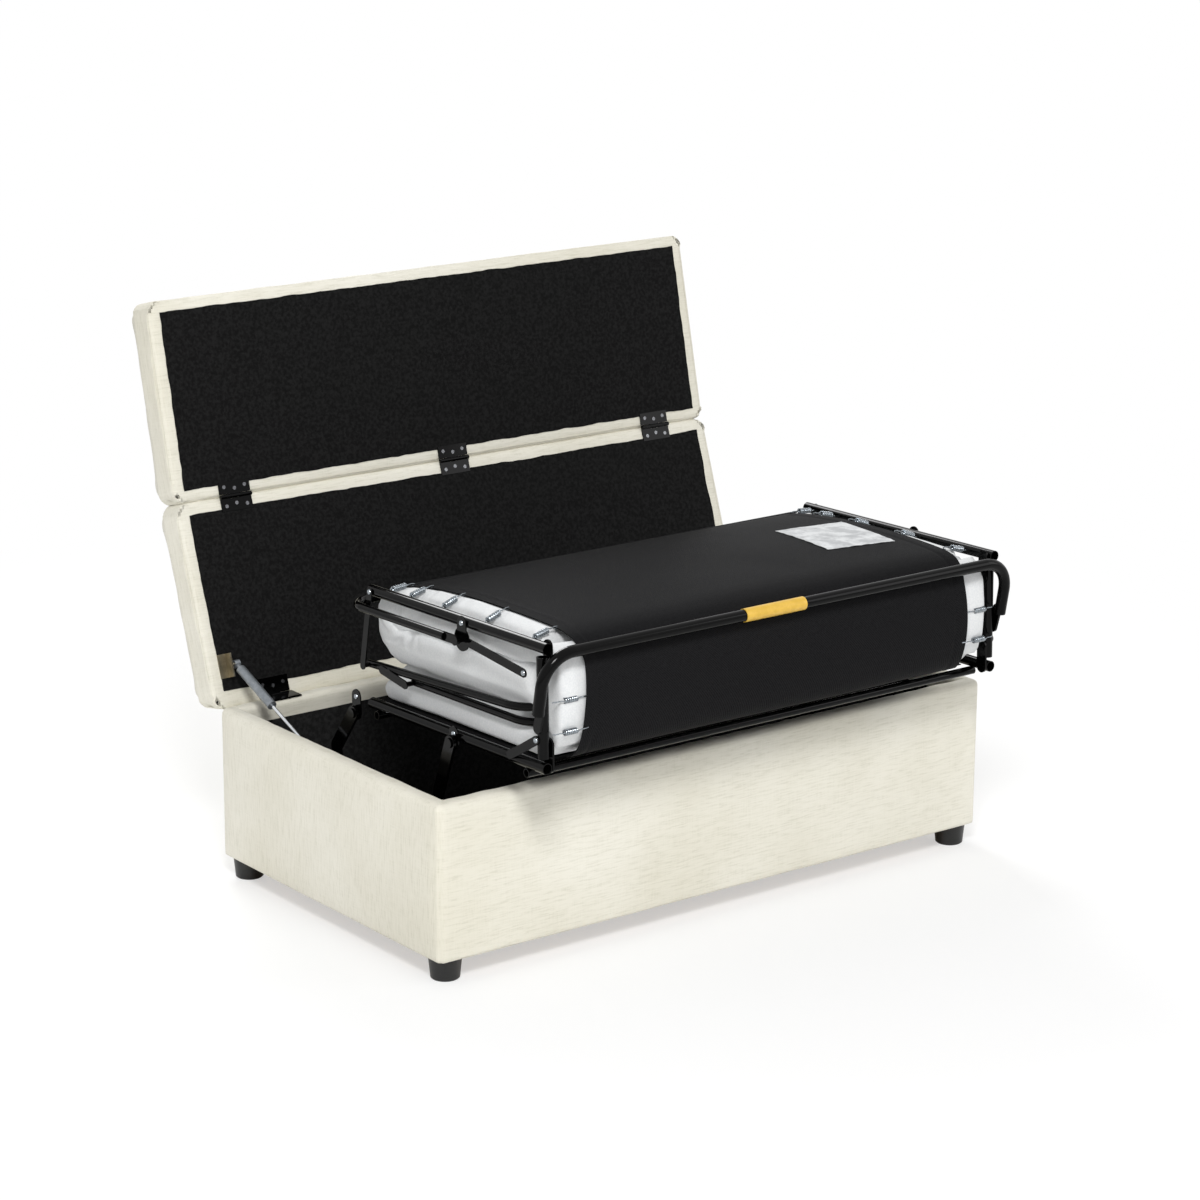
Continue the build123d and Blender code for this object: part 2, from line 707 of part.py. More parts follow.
sling_front_y = front_rail_y - front_sling_out
arc_y = sling_front_y + sling_front_radius
arc_z = top_sling_edge_z + top_sling_crown - sling_front_radius
with BuildPart() as front_sling:
    outer = sling_front_radius
    inner = sling_front_radius - sling_thickness
    with BuildSketch(Plane.YZ.offset(-front_sling_half_width)) as sling_profile:
        with BuildLine():
            Line((arc_y, arc_z + inner), (arc_y, arc_z + outer))
            ThreePointArc((arc_y, arc_z + outer), (arc_y - outer * round_share, arc_z + outer * round_share),
                          (arc_y - outer, arc_z))
            Line((arc_y - outer, arc_z), (arc_y - outer, front_sling_low_z))
            Line((arc_y - outer, front_sling_low_z), (arc_y - inner, front_sling_low_z))
            Line((arc_y - inner, front_sling_low_z), (arc_y - inner, arc_z))
            ThreePointArc((arc_y - inner, arc_z), (arc_y - inner * round_share, arc_z + inner * round_share),
                          (arc_y, arc_z + inner))
        make_face()
    extrude(sling_profile.sketch, amount=2 * front_sling_half_width)
save(front_sling.part, "front_sling", bed_lean)

with BuildPart() as front_mattress:
    front_mattress_from = arc_y - inner + soft_gap
    z_low = lower_rail_z + lower_mattress_thickness + section_gap
    z_high = arc_z + inner - front_mattress_thickness / 2
    with BuildSketch(Plane.YZ.offset(-mattress_half_width)) as side:
        with Locations((front_mattress_from + front_mattress_thickness / 2, (z_low + z_high) / 2)):
            RectangleRounded(front_mattress_thickness, z_high - z_low, mattress_nose)
    extrude(side.sketch, amount=2 * mattress_half_width)
    end_faces = front_mattress.faces().sort_by(Axis.X)
    chamfer(end_faces[0].edges() + end_faces[-1].edges(), length=mattress_nose / 2)
save(front_mattress.part, "front_mattress", bed_lean)

# Top section, with the folded back of the bed, which rides on it
with BuildPart() as top_rails:
    for sign in (-1, 1):
        x = sign * rail_x
        straight_tube((x, front_rail_y - rail_stub, top_rail_z), (x, top_rail_back_y, top_rail_z),
                      rail_radius, rail_wall)
save(top_rails.part, "top_rails", bed_lean)

top_sling_front_y = arc_y + sling_edge_gap
with BuildPart() as top_sling:
    edge = top_sling_edge_z
    crown = top_sling_edge_z + top_sling_crown
    w = top_sling_half_width
    with BuildSketch(Plane.XZ.offset(-mattress_back_y)) as sling_section:
        with BuildLine():
            ThreePointArc((-w, edge), (0, crown), (w, edge))
            Line((w, edge), (w, edge - sling_thickness))
            ThreePointArc((w, edge - sling_thickness), (0, crown - sling_thickness), (-w, edge - sling_thickness))
            Line((-w, edge - sling_thickness), (-w, edge))
        make_face()
    extrude(sling_section.sketch, amount=mattress_back_y - top_sling_front_y)
save(top_sling.part, "top_sling", bed_lean)

layer_low = mattress_top_z - 2 * mattress_layer - mattress_slit
fold_middle = mattress_top_z - mattress_layer - mattress_slit / 2
with BuildPart() as back_sling:
    out = mattress_back_y + mattress_fold_out + soft_gap
    high = mattress_top_z + soft_gap
    low = layer_low - soft_gap
    with BuildSketch(Plane.YZ.offset(-inner_sling_half_width)) as back_profile:
        with BuildLine():
            ThreePointArc((mattress_back_y, high), (out, fold_middle), (mattress_back_y, low))
            Line((mattress_back_y, low), (mattress_back_y, low - sling_thickness))
            ThreePointArc((mattress_back_y, low - sling_thickness), (out + sling_thickness, fold_middle),
                          (mattress_back_y, high + sling_thickness))
            Line((mattress_back_y, high + sling_thickness), (mattress_back_y, high))
        make_face()
    extrude(back_profile.sketch, amount=2 * inner_sling_half_width)
save(back_sling.part, "back_sling", bed_lean)

with BuildPart() as inner_sling:
    block((-inner_sling_half_width, inner_front_y + inner_tube_radius + soft_gap, low - sling_thickness),
          (inner_sling_half_width, mattress_back_y, low))
save(inner_sling.part, "inner_sling", bed_lean)

with BuildPart() as folded_mattress:
    slit_low = fold_middle - mattress_slit / 2
    slit_high = fold_middle + mattress_slit / 2
    nose = mattress_nose
    with BuildSketch(Plane.YZ.offset(-mattress_half_width)) as mattress_side:
        with BuildLine():
            Line((mattress_front_y + nose, layer_low), (mattress_back_y, layer_low))
            ThreePointArc((mattress_back_y, layer_low), (mattress_back_y + mattress_fold_out, fold_middle),
                          (mattress_back_y, mattress_top_z))
            Line((mattress_back_y, mattress_top_z), (mattress_front_y + nose, mattress_top_z))
            ThreePointArc((mattress_front_y + nose, mattress_top_z),
                          (mattress_front_y, mattress_top_z - mattress_layer / 2),
                          (mattress_front_y + nose, slit_high))
            Line((mattress_front_y + nose, slit_high), (mattress_back_y, slit_high))
            ThreePointArc((mattress_back_y, slit_high), (mattress_back_y + mattress_slit / 2, fold_middle),
                          (mattress_back_y, slit_low))
            Line((mattress_back_y, slit_low), (mattress_front_y + nose, slit_low))
            ThreePointArc((mattress_front_y + nose, slit_low),
                          (mattress_front_y, layer_low + mattress_layer / 2),
                          (mattress_front_y + nose, layer_low))
        make_face()
    extrude(mattress_side.sketch, amount=2 * mattress_half_width)
save(folded_mattress.part, "folded_mattress", bed_lean)

with BuildPart() as inner_frame:
    x = inner_frame_x
    tube([(-x, inner_frame_back_y, inner_frame_back_z), (-x, inner_front_y, inner_frame_front_z),
          (x, inner_front_y, inner_frame_front_z), (x, inner_frame_back_y, inner_frame_back_z)],
         inner_bend, inner_tube_radius)
save(inner_frame.part, "inner_frame", bed_lean)

with BuildPart() as inner_leg:
    x = inner_leg_x
    tube([(-x, inner_leg_back_y, inner_leg_z), (-x, inner_front_y, inner_leg_z),
          (x, inner_front_y, inner_leg_z), (x, inner_leg_back_y, inner_leg_z)],
         inner_bend, inner_tube_radius)
save(inner_leg.part, "inner_leg", bed_lean)

# Plates that carry the middle leg, with the link that drives it
leg_pivot = (leg_pivot_y, leg_pivot_z)
with BuildPart() as leg_discs:
    for sign in (-1, 1):
        near = sign * plate_x
        far = sign * (plate_x + plate_thickness)
        bar_along_x(near, far, leg_pivot, leg_disc_radius)
        link_plate(near, far, leg_pivot, (leg_pivot_y, top_rail_z), 2 * rivet_radius + leg_link_width)
        link_plate(near, far, leg_pivot, (leg_link_y, leg_link_z), leg_link_width)
        pin_x = sign * (leg_x + leg_tongue_thickness / 2 + arm_gap)
        bar_along_x(far, pin_x, leg_pivot, arm_pin_radius)
        bar_along_x(pin_x, pin_x + sign * arm_head_thickness, leg_pivot, arm_head_radius)
save(leg_discs.part, "leg_discs", bed_lean)

with BuildPart() as middle_leg:
    x = leg_x
    tube([(-x, leg_pivot_y + leg_tongue_length, leg_pivot_z), (-x, leg_cross_y, leg_pivot_z),
          (x, leg_cross_y, leg_pivot_z), (x, leg_pivot_y + leg_tongue_length, leg_pivot_z)],
         leg_bend, leg_tube_radius)
    for sign in (-1, 1):
        near = sign * (x - leg_tongue_thickness / 2)
        far = sign * (x + leg_tongue_thickness / 2)
        link_plate(near, far, leg_pivot, (leg_pivot_y + leg_tongue_length + leg_tube_radius, leg_pivot_z),
                   2 * leg_tube_radius)
        bar_along_x(near - sign * cut_overrun, far + sign * cut_overrun, leg_pivot,
                    arm_pin_radius + arm_pin_play, Mode.SUBTRACT)
save(middle_leg.part, "middle_leg", bed_lean)

# Links at the back: one hangs the inner frame from the top rail, one ties the inner leg to it
inner_frame_slope = (inner_frame_front_z - inner_frame_back_z) / (inner_frame_back_y - inner_front_y)
inner_frame_end = (inner_frame_back_y - inner_tube_radius,
                   inner_frame_back_z + inner_tube_radius * inner_frame_slope)
inner_leg_end = (inner_leg_back_y - inner_tube_radius, inner_leg_z)
with BuildPart() as back_links:
    for sign in (-1, 1):
        near = sign * plate_x
        far = sign * (plate_x + plate_thickness)
        link_plate(near, far, (back_link_y, top_rail_z), inner_frame_end, back_link_width)
        boss_x = sign * (inner_frame_x + inner_tube_radius + side_clearance)
        bar_along_x(near, boss_x, inner_frame_end, inner_link_pin_radius)
save(back_links.part, "back_links", bed_lean)

with BuildPart() as inner_links:
    for sign in (-1, 1):
        near = sign * (inner_frame_x + inner_tube_radius + side_clearance)
        far = near + sign * plate_thickness
        tie = (back_link_y - inner_link_width, inner_frame_back_z)
        link_plate(near, far, tie, inner_leg_end, inner_link_width)
        boss_x = sign * (inner_leg_x + inner_tube_radius + side_clearance)
        bar_along_x(near, boss_x, inner_leg_end, inner_link_pin_radius)
save(inner_links.part, "inner_links", bed_lean)

# Rivet heads on the outer faces, low domes in one node for each section
def rivet_heads(face_x, places):
    for sign in (-1, 1):
        for place in places:
            with BuildSketch(Plane.YZ.offset(sign * face_x)) as head:
                with Locations(place):
                    Circle(rivet_radius)
            extrude(head.sketch, amount=sign * rivet_height, taper=rivet_taper)


plate_face = plate_x + plate_thickness
pivot_rivet_z = lower_rail_z + pivot_plate_top - rivet_radius
with BuildPart() as lower_rivets:
    rivet_heads(plate_face, [(front_pivot_y, pivot_rivet_z),
                             (turned(rear_pivot, front_pivot, bed_tilt)[0], pivot_rivet_z)])
save(lower_rivets.part, "lower_rivets", bed_lean)

with BuildPart() as front_rivets:
    rivet_heads(plate_face, [(lever_top_y, lever_top_z)])
save(front_rivets.part, "front_rivets", bed_lean)

with BuildPart() as top_rivets:
    rivet_heads(plate_face, [(leg_pivot_y, top_rail_z), (leg_link_y, leg_link_z), (back_link_y, top_rail_z)])
save(top_rivets.part, "top_rivets", bed_lean)


# Two arcs that meet smoothly, from one place and direction to another: a biarc.
def two_arcs(start, start_way, end, end_way):
    chord = end - start
    ways = start_way + end_way
    turn = 2 * (1 - start_way.dot(end_way))
    along = chord.dot(ways)
    reach = (-along + sqrt(along * along + turn * chord.dot(chord))) / turn
    first = start + start_way * reach
    second = end - end_way * reach
    TangentArc(start, (first + second) / 2, tangent=start_way)
    TangentArc((first + second) / 2, end, tangent=(second - first).normalized())


# A place on the coil of a spring, and the wire's direction there. The coil runs along X and stands
# on the line of the straight ends.
def coil_place(coil_from, angle):
    climb = spring_pitch * angle / (2 * pi)
    return Vector(coil_from + climb, spring_coil_radius * sin(angle),
                  spring_coil_radius * (1 - cos(angle)))


def coil_way(angle):
    climb = spring_pitch / (2 * pi)
    return Vector(climb, spring_coil_radius * cos(angle), spring_coil_radius * sin(angle)).normalized()


# One coil spring, a single unbroken wire along X with straight ends, drawn once for each length.
def coil_spring(length):
    coil_length = spring_turns * spring_pitch
    coil_from = (length - coil_length) / 2
    last = 2 * spring_turns * pi
    forward = Vector(1, 0, 0)
    lead_in = Vector(coil_from - spring_turn_in, -spring_turn_in, 0)
    lead_out = Vector(coil_from + coil_length + spring_turn_in, spring_turn_in, 0)
    with BuildPart(mode=Mode.PRIVATE) as one_spring:
        with BuildLine() as wire:
            Line((0, -spring_turn_in, 0), lead_in)
            two_arcs(lead_in, forward, coil_place(coil_from, 0), coil_way(0))
            for half in range(2 * spring_turns):
                two_arcs(coil_place(coil_from, half * pi), coil_way(half * pi),
                         coil_place(coil_from, (half + 1) * pi), coil_way((half + 1) * pi))
            two_arcs(coil_place(coil_from, last), coil_way(last), lead_out, forward)
            Line(lead_out, (length, spring_turn_in, 0))
        with BuildSketch(Plane(origin=wire.line @ 0, z_dir=wire.line % 0)) as wire_section:
            RegularPolygon(spring_wire_radius, spring_facets)
        sweep(wire_section.sketch, path=wire.line)
    return one_spring.part


# How far from a rail's middle a wire stops, on a line that passes the middle at an offset.
def hook_reach(offset):
    near = rail_radius + side_clearance + spring_wire_radius * abs(offset) / rail_radius
    return sqrt(near * near - offset * offset)


top_spring_z = mattress_top_z + soft_gap + spring_wire_radius
front_spring_y = front_mattress_from - soft_gap - spring_wire_radius
top_spring_x = rail_x - hook_reach(top_rail_z - top_spring_z)
front_spring_x = rail_x - hook_reach(front_rail_y - front_spring_y)
top_spring = coil_spring(top_spring_x - top_sling_half_width - side_clearance)
front_spring = coil_spring(front_spring_x - front_sling_half_width - side_clearance)
half_turn = 180
quarter_turn = 90


# Copies of one spring at their places, side by side and never merged.
def spring_copies(spring, places):
    return Compound([spring.solid().moved(place) for place in places])


for side_name, sign, turn in (("left", -1, 0), ("right", 1, half_turn)):
    top_places = []
    for share in spring_shares:
        spring_y = front_rail_y + share * (top_rail_back_y - front_rail_y)
        top_places.append(Location((sign * top_spring_x, spring_y, top_spring_z), (0, 0, turn)))
    save(spring_copies(top_spring, top_places), "top_springs_" + side_name, bed_lean)
    front_places = []
    for share in front_spring_shares:
        spring_z = lower_rail_z + share * top_rail_rise
        front_places.append(Location((sign * front_spring_x, front_spring_y, spring_z), (quarter_turn, 0, turn)))
    save(spring_copies(front_spring, front_places), "front_springs_" + side_name, bed_lean)
print("least gap of a spring to itself", spring_pitch - 2 * spring_wire_radius)

print("base pin", base_pin, "fold pin", turned(fold_pin, base_pin, -lid_open_angle))
print("strut foot", strut_foot, "head", strut_head, "length", strut_length, "angle", strut_angle)
print("front root", front_root, "rear root", rear_root)
lower_joint = turned((front_rail_y, lower_rail_z), front_pivot, -bed_tilt)
top_joint = turned((front_rail_y, top_rail_z), front_pivot, -bed_tilt)
print("lower joint", lower_joint, "top joint", top_joint, "leg", turned(leg_pivot, front_pivot, -bed_tilt))
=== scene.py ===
import math

import bpy
import numpy
from mathutils import Matrix, Vector, noise


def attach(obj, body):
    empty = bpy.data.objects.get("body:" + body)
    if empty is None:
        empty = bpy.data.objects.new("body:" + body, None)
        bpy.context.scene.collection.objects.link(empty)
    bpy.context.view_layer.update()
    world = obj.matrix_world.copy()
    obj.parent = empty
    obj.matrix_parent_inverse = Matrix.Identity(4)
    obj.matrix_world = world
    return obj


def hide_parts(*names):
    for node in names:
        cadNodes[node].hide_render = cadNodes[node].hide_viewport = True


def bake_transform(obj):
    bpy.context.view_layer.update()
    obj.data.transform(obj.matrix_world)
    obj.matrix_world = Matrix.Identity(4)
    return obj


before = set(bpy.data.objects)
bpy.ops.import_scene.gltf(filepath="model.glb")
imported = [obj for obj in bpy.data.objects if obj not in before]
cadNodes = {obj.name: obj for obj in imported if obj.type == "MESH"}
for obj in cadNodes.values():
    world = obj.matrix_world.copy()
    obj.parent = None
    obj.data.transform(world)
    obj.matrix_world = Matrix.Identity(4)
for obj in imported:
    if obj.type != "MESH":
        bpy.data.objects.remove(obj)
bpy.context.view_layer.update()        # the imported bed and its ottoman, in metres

mm = 0.001

# The lid is modelled shut and swung open, the bed is modelled level and leaned, as in the CAD. Each turn
# is a pin's place along Y and Z, and degrees about X.
basePin = (0.3205, 0.290)
foldPin = (-0.020, 0.2929)
lidOpen = (basePin, -109.17)
lidFold = (foldPin, 6.25)
bedLean = ((-0.220, 0.352), -1.5)


def hexColour(text):
    parts = [int(text[i:i + 2], 16) / 255 for i in (1, 3, 5)]
    linear = [c / 12.92 if c <= 0.04045 else ((c + 0.055) / 1.055) ** 2.4 for c in parts]
    return (*linear, 1.0)


# Adds a node with its settings, the stops of its colour ramp, its links and the values of its sockets.
def addNode(owner, kind, settings=None, links=None, stops=(), **values):
    node = owner.node_tree.nodes.new(kind)
    for name, value in (settings or {}).items():
        setattr(node, name, value)
    for name, value in values.items():
        node.inputs[name.replace("_", " ")].default_value = value
    for name, (source, output) in (links or {}).items():
        owner.node_tree.links.new(source.outputs[output], node.inputs[name])
    if stops:
        elements = node.color_ramp.elements
        while len(elements) < len(stops):
            elements.new(0.5)
        for element, (position, colour) in zip(elements, stops):
            element.position = position
            element.color = hexColour(colour)
    return node


def startMaterial(name):
    material = bpy.data.materials.new(name)
    material.use_nodes = True
    material.node_tree.nodes.clear()
    return material, addNode(material, "ShaderNodeTexCoord")


# The shader takes a colour and a height, each a node and its output, and the shader's own values.
def finishMaterial(material, colour, height, bumpMm, strength, **shader):
    bump = addNode(material, "ShaderNodeBump", links={"Height": height}, Strength=strength,
                   Distance=bumpMm * mm)
    surface = addNode(material, "ShaderNodeBsdfPrincipled", links={"Base Color": colour, "Normal": (bump, 0)},
                      **shader)
    addNode(material, "ShaderNodeOutputMaterial", links={"Surface": (surface, 0)})
    return material


linen = {
    "light": "#E6E3D7", "dark": "#E1DED1", "speck": "#D9D6C8", "shades": ("#F4F3EF", "#FFFFFF"),
    "threadSpacingMm": 1.3,      # real threads are 0.6 mm, drawn coarser to show
    "slubLengthMm": 15, "cloudMm": 200, "bumpMm": 0.55, "roughness": 0.88,
    "levelShare": (0.78, 0.24),  # how much of the streaks runs level, on the front and on the ends
}


# Chenille woven from slubby yarn: a matt warm ivory, with short darker streaks where the yarn is thick.
def makeLinen(name, tilt):
    material, place = startMaterial(name)
    turn = addNode(material, "ShaderNodeMapping", links={"Vector": (place, "Object")},
                   Rotation=(math.radians(tilt), 0, 0))
    fine = 1000 / linen["threadSpacingMm"] / 2
    coarse = 1000 / linen["slubLengthMm"] / 2
    streaks = []
    for scale in ((fine, fine, coarse), (coarse, coarse, fine)):
        stretch = addNode(material, "ShaderNodeMapping", links={"Vector": (turn, 0)}, Scale=scale)
        streaks.append(addNode(material, "ShaderNodeTexNoise", links={"Vector": (stretch, 0)},
                               Scale=1.0, Detail=3.0, Roughness=0.6))
    # The yarn that shows runs up the ends and along the front.
    facing = addNode(material, "ShaderNodeSeparateXYZ", links={"Vector": (place, "Normal")})
    endways = addNode(material, "ShaderNodeMath", {"operation": "ABSOLUTE"}, {"Value": (facing, "X")})
    onFront, onEnds = linen["levelShare"]
    level = addNode(material, "ShaderNodeMapRange", links={"Value": (endways, 0)}, To_Min=onFront,
                    To_Max=onEnds)
    yarn = addNode(material, "ShaderNodeMix", {"data_type": "FLOAT"},
                   {"Factor": (level, 0), 2: (streaks[0], 0), 3: (streaks[1], 0)})
    tone = addNode(material, "ShaderNodeValToRGB", links={"Fac": (yarn, 0)},
                   stops=[(0.36, linen["speck"]), (0.44, linen["dark"]), (0.56, linen["light"])])
    cloud = addNode(material, "ShaderNodeTexNoise", links={"Vector": (turn, 0)}, Scale=1000 / linen["cloudMm"],
                    Detail=2.0)
    shade = addNode(material, "ShaderNodeValToRGB", links={"Fac": (cloud, 0)},
                    stops=list(zip((0.3, 0.7), linen["shades"])))
    mix = addNode(material, "ShaderNodeMix", {"data_type": "RGBA", "blend_type": "MULTIPLY"},
                  {6: (tone, 0), 7: (shade, 0)}, Factor=1.0)
    return finishMaterial(material, (mix, 2), (yarn, 0), linen["bumpMm"], 0.7, Roughness=linen["roughness"],
                          Sheen_Weight=0.15, Sheen_Roughness=0.5, Specular_IOR_Level=0.25)


# Two close tones on a fine grain, which is also the bump. stretch pulls the grain along an axis.
def makeGrained(name, tones, grainMm, bumpMm, strength=0.5, stretch=(1, 1, 1), span=(0.4, 0.62), **shader):
    material, place = startMaterial(name)
    grid = addNode(material, "ShaderNodeMapping", links={"Vector": (place, "Object")},
                   Scale=[1000 / grainMm / 2 * share for share in stretch])
    grain = addNode(material, "ShaderNodeTexNoise", links={"Vector": (grid, 0)}, Scale=1.0, Detail=4.0,
                    Roughness=0.6)
    tone = addNode(material, "ShaderNodeValToRGB", links={"Fac": (grain, 0)}, stops=list(zip(span, tones)))
    return finishMaterial(material, (tone, 0), (grain, 0), bumpMm, strength, **shader)


# The yarns are 1 mm wide and drawn coarser to show.
sling = {"yarnMm": 2.2, "tones": ("#101011", "#202021"), "bumpMm": 0.25, "grainMm": 1.6}


# Woven polypropylene: flat tape yarns over and under give the black a fine dull grain.
def makeSlingWeave():
    material, place = startMaterial("wovenPolypropylene")
    grid = addNode(material, "ShaderNodeMapping", links={"Vector": (place, "Object")},
                   Scale=[1000 / sling["yarnMm"]] * 3)
    wave = []
    for direction in ("X", "DIAGONAL"):
        wave.append(addNode(material, "ShaderNodeTexWave", {"wave_type": "BANDS", "bands_direction": direction},
                            {"Vector": (grid, 0)}, Scale=0.32, Distortion=0.6, Detail=1.0))
    weave = addNode(material, "ShaderNodeMath", {"operation": "MULTIPLY"}, {0: (wave[0], 1), 1: (wave[1], 1)})
    fibre = addNode(material, "ShaderNodeTexNoise", links={"Vector": (grid, 0)}, Scale=0.9, Detail=3.0)
    speckle = addNode(material, "ShaderNodeTexNoise", links={"Vector": (place, "Object")},
                      Scale=1000 / sling["grainMm"] / 2, Detail=1.0)
    coarse = addNode(material, "ShaderNodeMath", {"operation": "ADD"}, {0: (weave, 0), 1: (fibre, 0)})
    height = addNode(material, "ShaderNodeMath", {"operation": "ADD"}, {0: (coarse, 0), 1: (speckle, 0)})
    tone = addNode(material, "ShaderNodeValToRGB", links={"Fac": (coarse, 0)},
                   stops=list(zip((0.35, 0.95), sling["tones"])))
    return finishMaterial(material, (tone, 0), (height, 0), sling["bumpMm"], 0.6, Roughness=0.5,
                          Specular_IOR_Level=0.015)


# The lids' linen is turned with them, so that its streaks stay square to their edges.
boxLinen = makeLinen("linenWeave", 0)
lidLinen = makeLinen("linenWeaveOnLid", 19.17)
frontLidLinen = makeLinen("linenWeaveOnFrontLid", 12.92)
slingWeave = makeSlingWeave()
# Spun-bonded polypropylene felt: a flat dull black with a faint mottle. Its copy for the box is painted a shade
# lighter, as painted light inside the box.
nonWoven = makeGrained("nonWovenPolypropylene", ("#0C0C0C", "#1A1A1A"), 3.0, 0.35, Roughness=0.92,
                       Specular_IOR_Level=0.1)
nonWovenWithPaintedLight = makeGrained("nonWovenWithPaintedLight", ("#1B1B1B", "#2A2A2A"), 3.0, 0.35, Roughness=0.92,
                            Specular_IOR_Level=0.1)
# Brushed polyester, knitted: a soft cool white without any shine.
mattressCloth = makeGrained("brushedPolyesterCover", ("#D6D8D9", "#DFE0E0"), 1.4, 0.10, Roughness=0.8,
                            Specular_IOR_Level=0.2)
# Powder coat baked on steel: glossy black with a slight orange peel, so thin lights run along the tubes.
powderCoat = makeGrained("powderCoatedSteel", ("#020202", "#030303"), 5.0, 0.02, Roughness=0.09,
                         Specular_IOR_Level=0.12)
# Black oxide steel, painted dark grey instead of black as a painted highlight, so that the small heads catch a
# light.
screwWithPaintedHighlight = makeGrained("blackOxideWithPaintedHighlight", ("#5C5D60", "#77787B"), 1.0, 0.03, Roughness=0.25, Metallic=0.8)
# Zinc plating, tumbled: bright cool grey with soft reflections.
zincPlate = makeGrained("zincPlatedSteel", ("#7F858A", "#A6ACB1"), 1.5, 0.04, Roughness=0.24, Metallic=1.0)
# Sprayed metallic enamel: an even grey with a soft gloss.
strutPaint = makeGrained("strutPaint", ("#7E8388", "#8C9196"), 4.0, 0.03, Roughness=0.3, Metallic=0.6)
# Ground and hard chromed: mirror bright.
chromeRod = makeGrained("hardChrome", ("#C9CCD0", "#DADDE0"), 8.0, 0.01, Roughness=0.12, Metallic=1.0)
# Yellow passivated zinc: a thin warm film that runs from brass to straw.
yellowZinc = makeGrained("yellowPassivatedZinc", ("#77705F", "#A19884"), 9.0, 0.04, Roughness=0.34,
                         Metallic=1.0, span=(0.3, 0.7))
# Soft vinyl, dipped: a warm yellow with a broad dull light.
vinylSleeve = makeGrained("yellowVinyl", ("#CFA637", "#D9B044"), 6.0, 0.06, Roughness=0.38)
# Moulded ABS with a fine texture: near black with a weak sheen.
footPlastic = makeGrained("mouldedAbs", ("#0B0B0B", "#151515"), 1.2, 0.06, Roughness=0.42)
# Poplar plywood, sawn: pale brown with its grain along X.
boardWood = makeGrained("poplarPlywood", ("#B79468", "#CDB185"), 2.4, 0.1, stretch=(0.04, 1, 1), Roughness=0.7)
# Cast film glued on cloth: pale grey and creased, with highlights painted on the creases of its grain.
patchFilmWithPaintedHighlights = makeGrained("paleFilmWithPaintedHighlights", ("#A9ABAD", "#D3D5D6"), 12.0, 0.8, strength=0.6, Roughness=0.4)
print("materials made")


def activate(piece):
    bpy.ops.object.select_all(action="DESELECT")
    piece.select_set(True)
    bpy.context.view_layer.objects.active = piece


def readPoints(piece):
    points = numpy.empty(len(piece.data.vertices) * 3, numpy.float32)
    piece.data.vertices.foreach_get("co", points)
    return points.reshape(-1, 3).astype(float)


def readNormals(piece):
    normals = numpy.empty(len(piece.data.vertices) * 3, numpy.float32)
    piece.data.vertices.foreach_get("normal", normals)
    return normals.reshape(-1, 3)


def writePoints(piece, points):
    piece.data.vertices.foreach_set("co", numpy.asarray(points, numpy.float32).ravel())
    piece.data.update()


def applyModifier(piece, kind, **settings):
    activate(piece)
    modifier = piece.modifiers.new(kind.lower(), kind)
    for name, value in settings.items():
        setattr(modifier, name, value)
    bpy.ops.object.modifier_apply(modifier=modifier.name)


# Turns a piece about the X direction through a pin, as the lid and the bed are turned.
def swing(piece, *turns):
    for (y, z), angle in turns:
        shift = Matrix.Translation((0, y, z))
        piece.data.transform(shift @ Matrix.Rotation(math.radians(angle), 4, "X") @ shift.inverted())
    piece.data.update()


def dress(piece, name, material, body, stands=(), smooth=30):
    piece.name = name
    piece.data.name = name
    activate(piece)
    bpy.ops.object.transform_apply(location=True, rotation=True, scale=True)
    piece.data.materials.clear()
    piece.data.materials.append(material)
    if smooth:
        bpy.ops.object.shade_smooth_by_angle(angle=math.radians(smooth))
    if body:
        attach(piece, body)
    if stands:
        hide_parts(*stands)
    return piece


def joinPieces(pieces):
    bpy.ops.object.select_all(action="DESELECT")
    for piece in pieces:
        piece.select_set(True)
    bpy.context.view_layer.objects.active = pieces[0]
    if len(pieces) > 1:
        bpy.ops.object.join()
    return pieces[0]


# A copy with its own mesh, stood at a place and turned.
def copyPiece(piece, matrix):
    twin = piece.copy()
    twin.data = piece.data.copy()
    bpy.context.scene.collection.objects.link(twin)
    twin.data.transform(matrix)
    return twin


# A smooth line through points, resampled evenly.
def smoothLine(points, count):
    points = numpy.asarray(points, float)
    ends = numpy.vstack([2 * points[0] - points[1], points, 2 * points[-1] - points[-2]])
    line = []
    for a, b, c, d in zip(ends, ends[1:], ends[2:], ends[3:]):
        for t in numpy.linspace(0, 1, 24, endpoint=False):
            line.append(0.5 * (2 * b + (c - a) * t + (2 * a - 5 * b + 4 * c - d) * t ** 2
                               + (3 * b - a - 3 * c + d) * t ** 3))
    line = numpy.array(line + [points[-1]])
    run = numpy.concatenate([[0], numpy.cumsum(numpy.linalg.norm(numpy.diff(line, axis=0), axis=1))])
    even = numpy.linspace(0, run[-1], count)
    return numpy.stack([numpy.interp(even, run, line[:, i]) for i in range(line.shape[1])], 1), run[-1]


def ripple(points, sizeMm, heightMm, seed):
    return numpy.array([noise.noise(Vector(p) * (1000 / sizeMm) + Vector((seed, seed * 2, -seed)))
                        for p in points]) * heightMm * mm


# A sheet of cloth from a grid: place(u, v) gives each point, u and v from 0 to 1.
def layGrid(across, along, place):
    bpy.ops.object.select_all(action="DESELECT")
    bpy.ops.mesh.primitive_grid_add(x_subdivisions=across, y_subdivisions=along, size=1)
    piece = bpy.context.object
    flat = readPoints(piece)
    writePoints(piece, place(flat[:, 0] + 0.5, flat[:, 1] + 0.5))
    return piece


def turnOutwards(piece):
    activate(piece)
    bpy.ops.object.mode_set(mode="EDIT")
    bpy.ops.mesh.select_all(action="SELECT")
    bpy.ops.mesh.remove_doubles(threshold=0.00005)
    bpy.ops.mesh.normals_make_consistent(inside=False)
    bpy.ops.object.mode_set(mode="OBJECT")


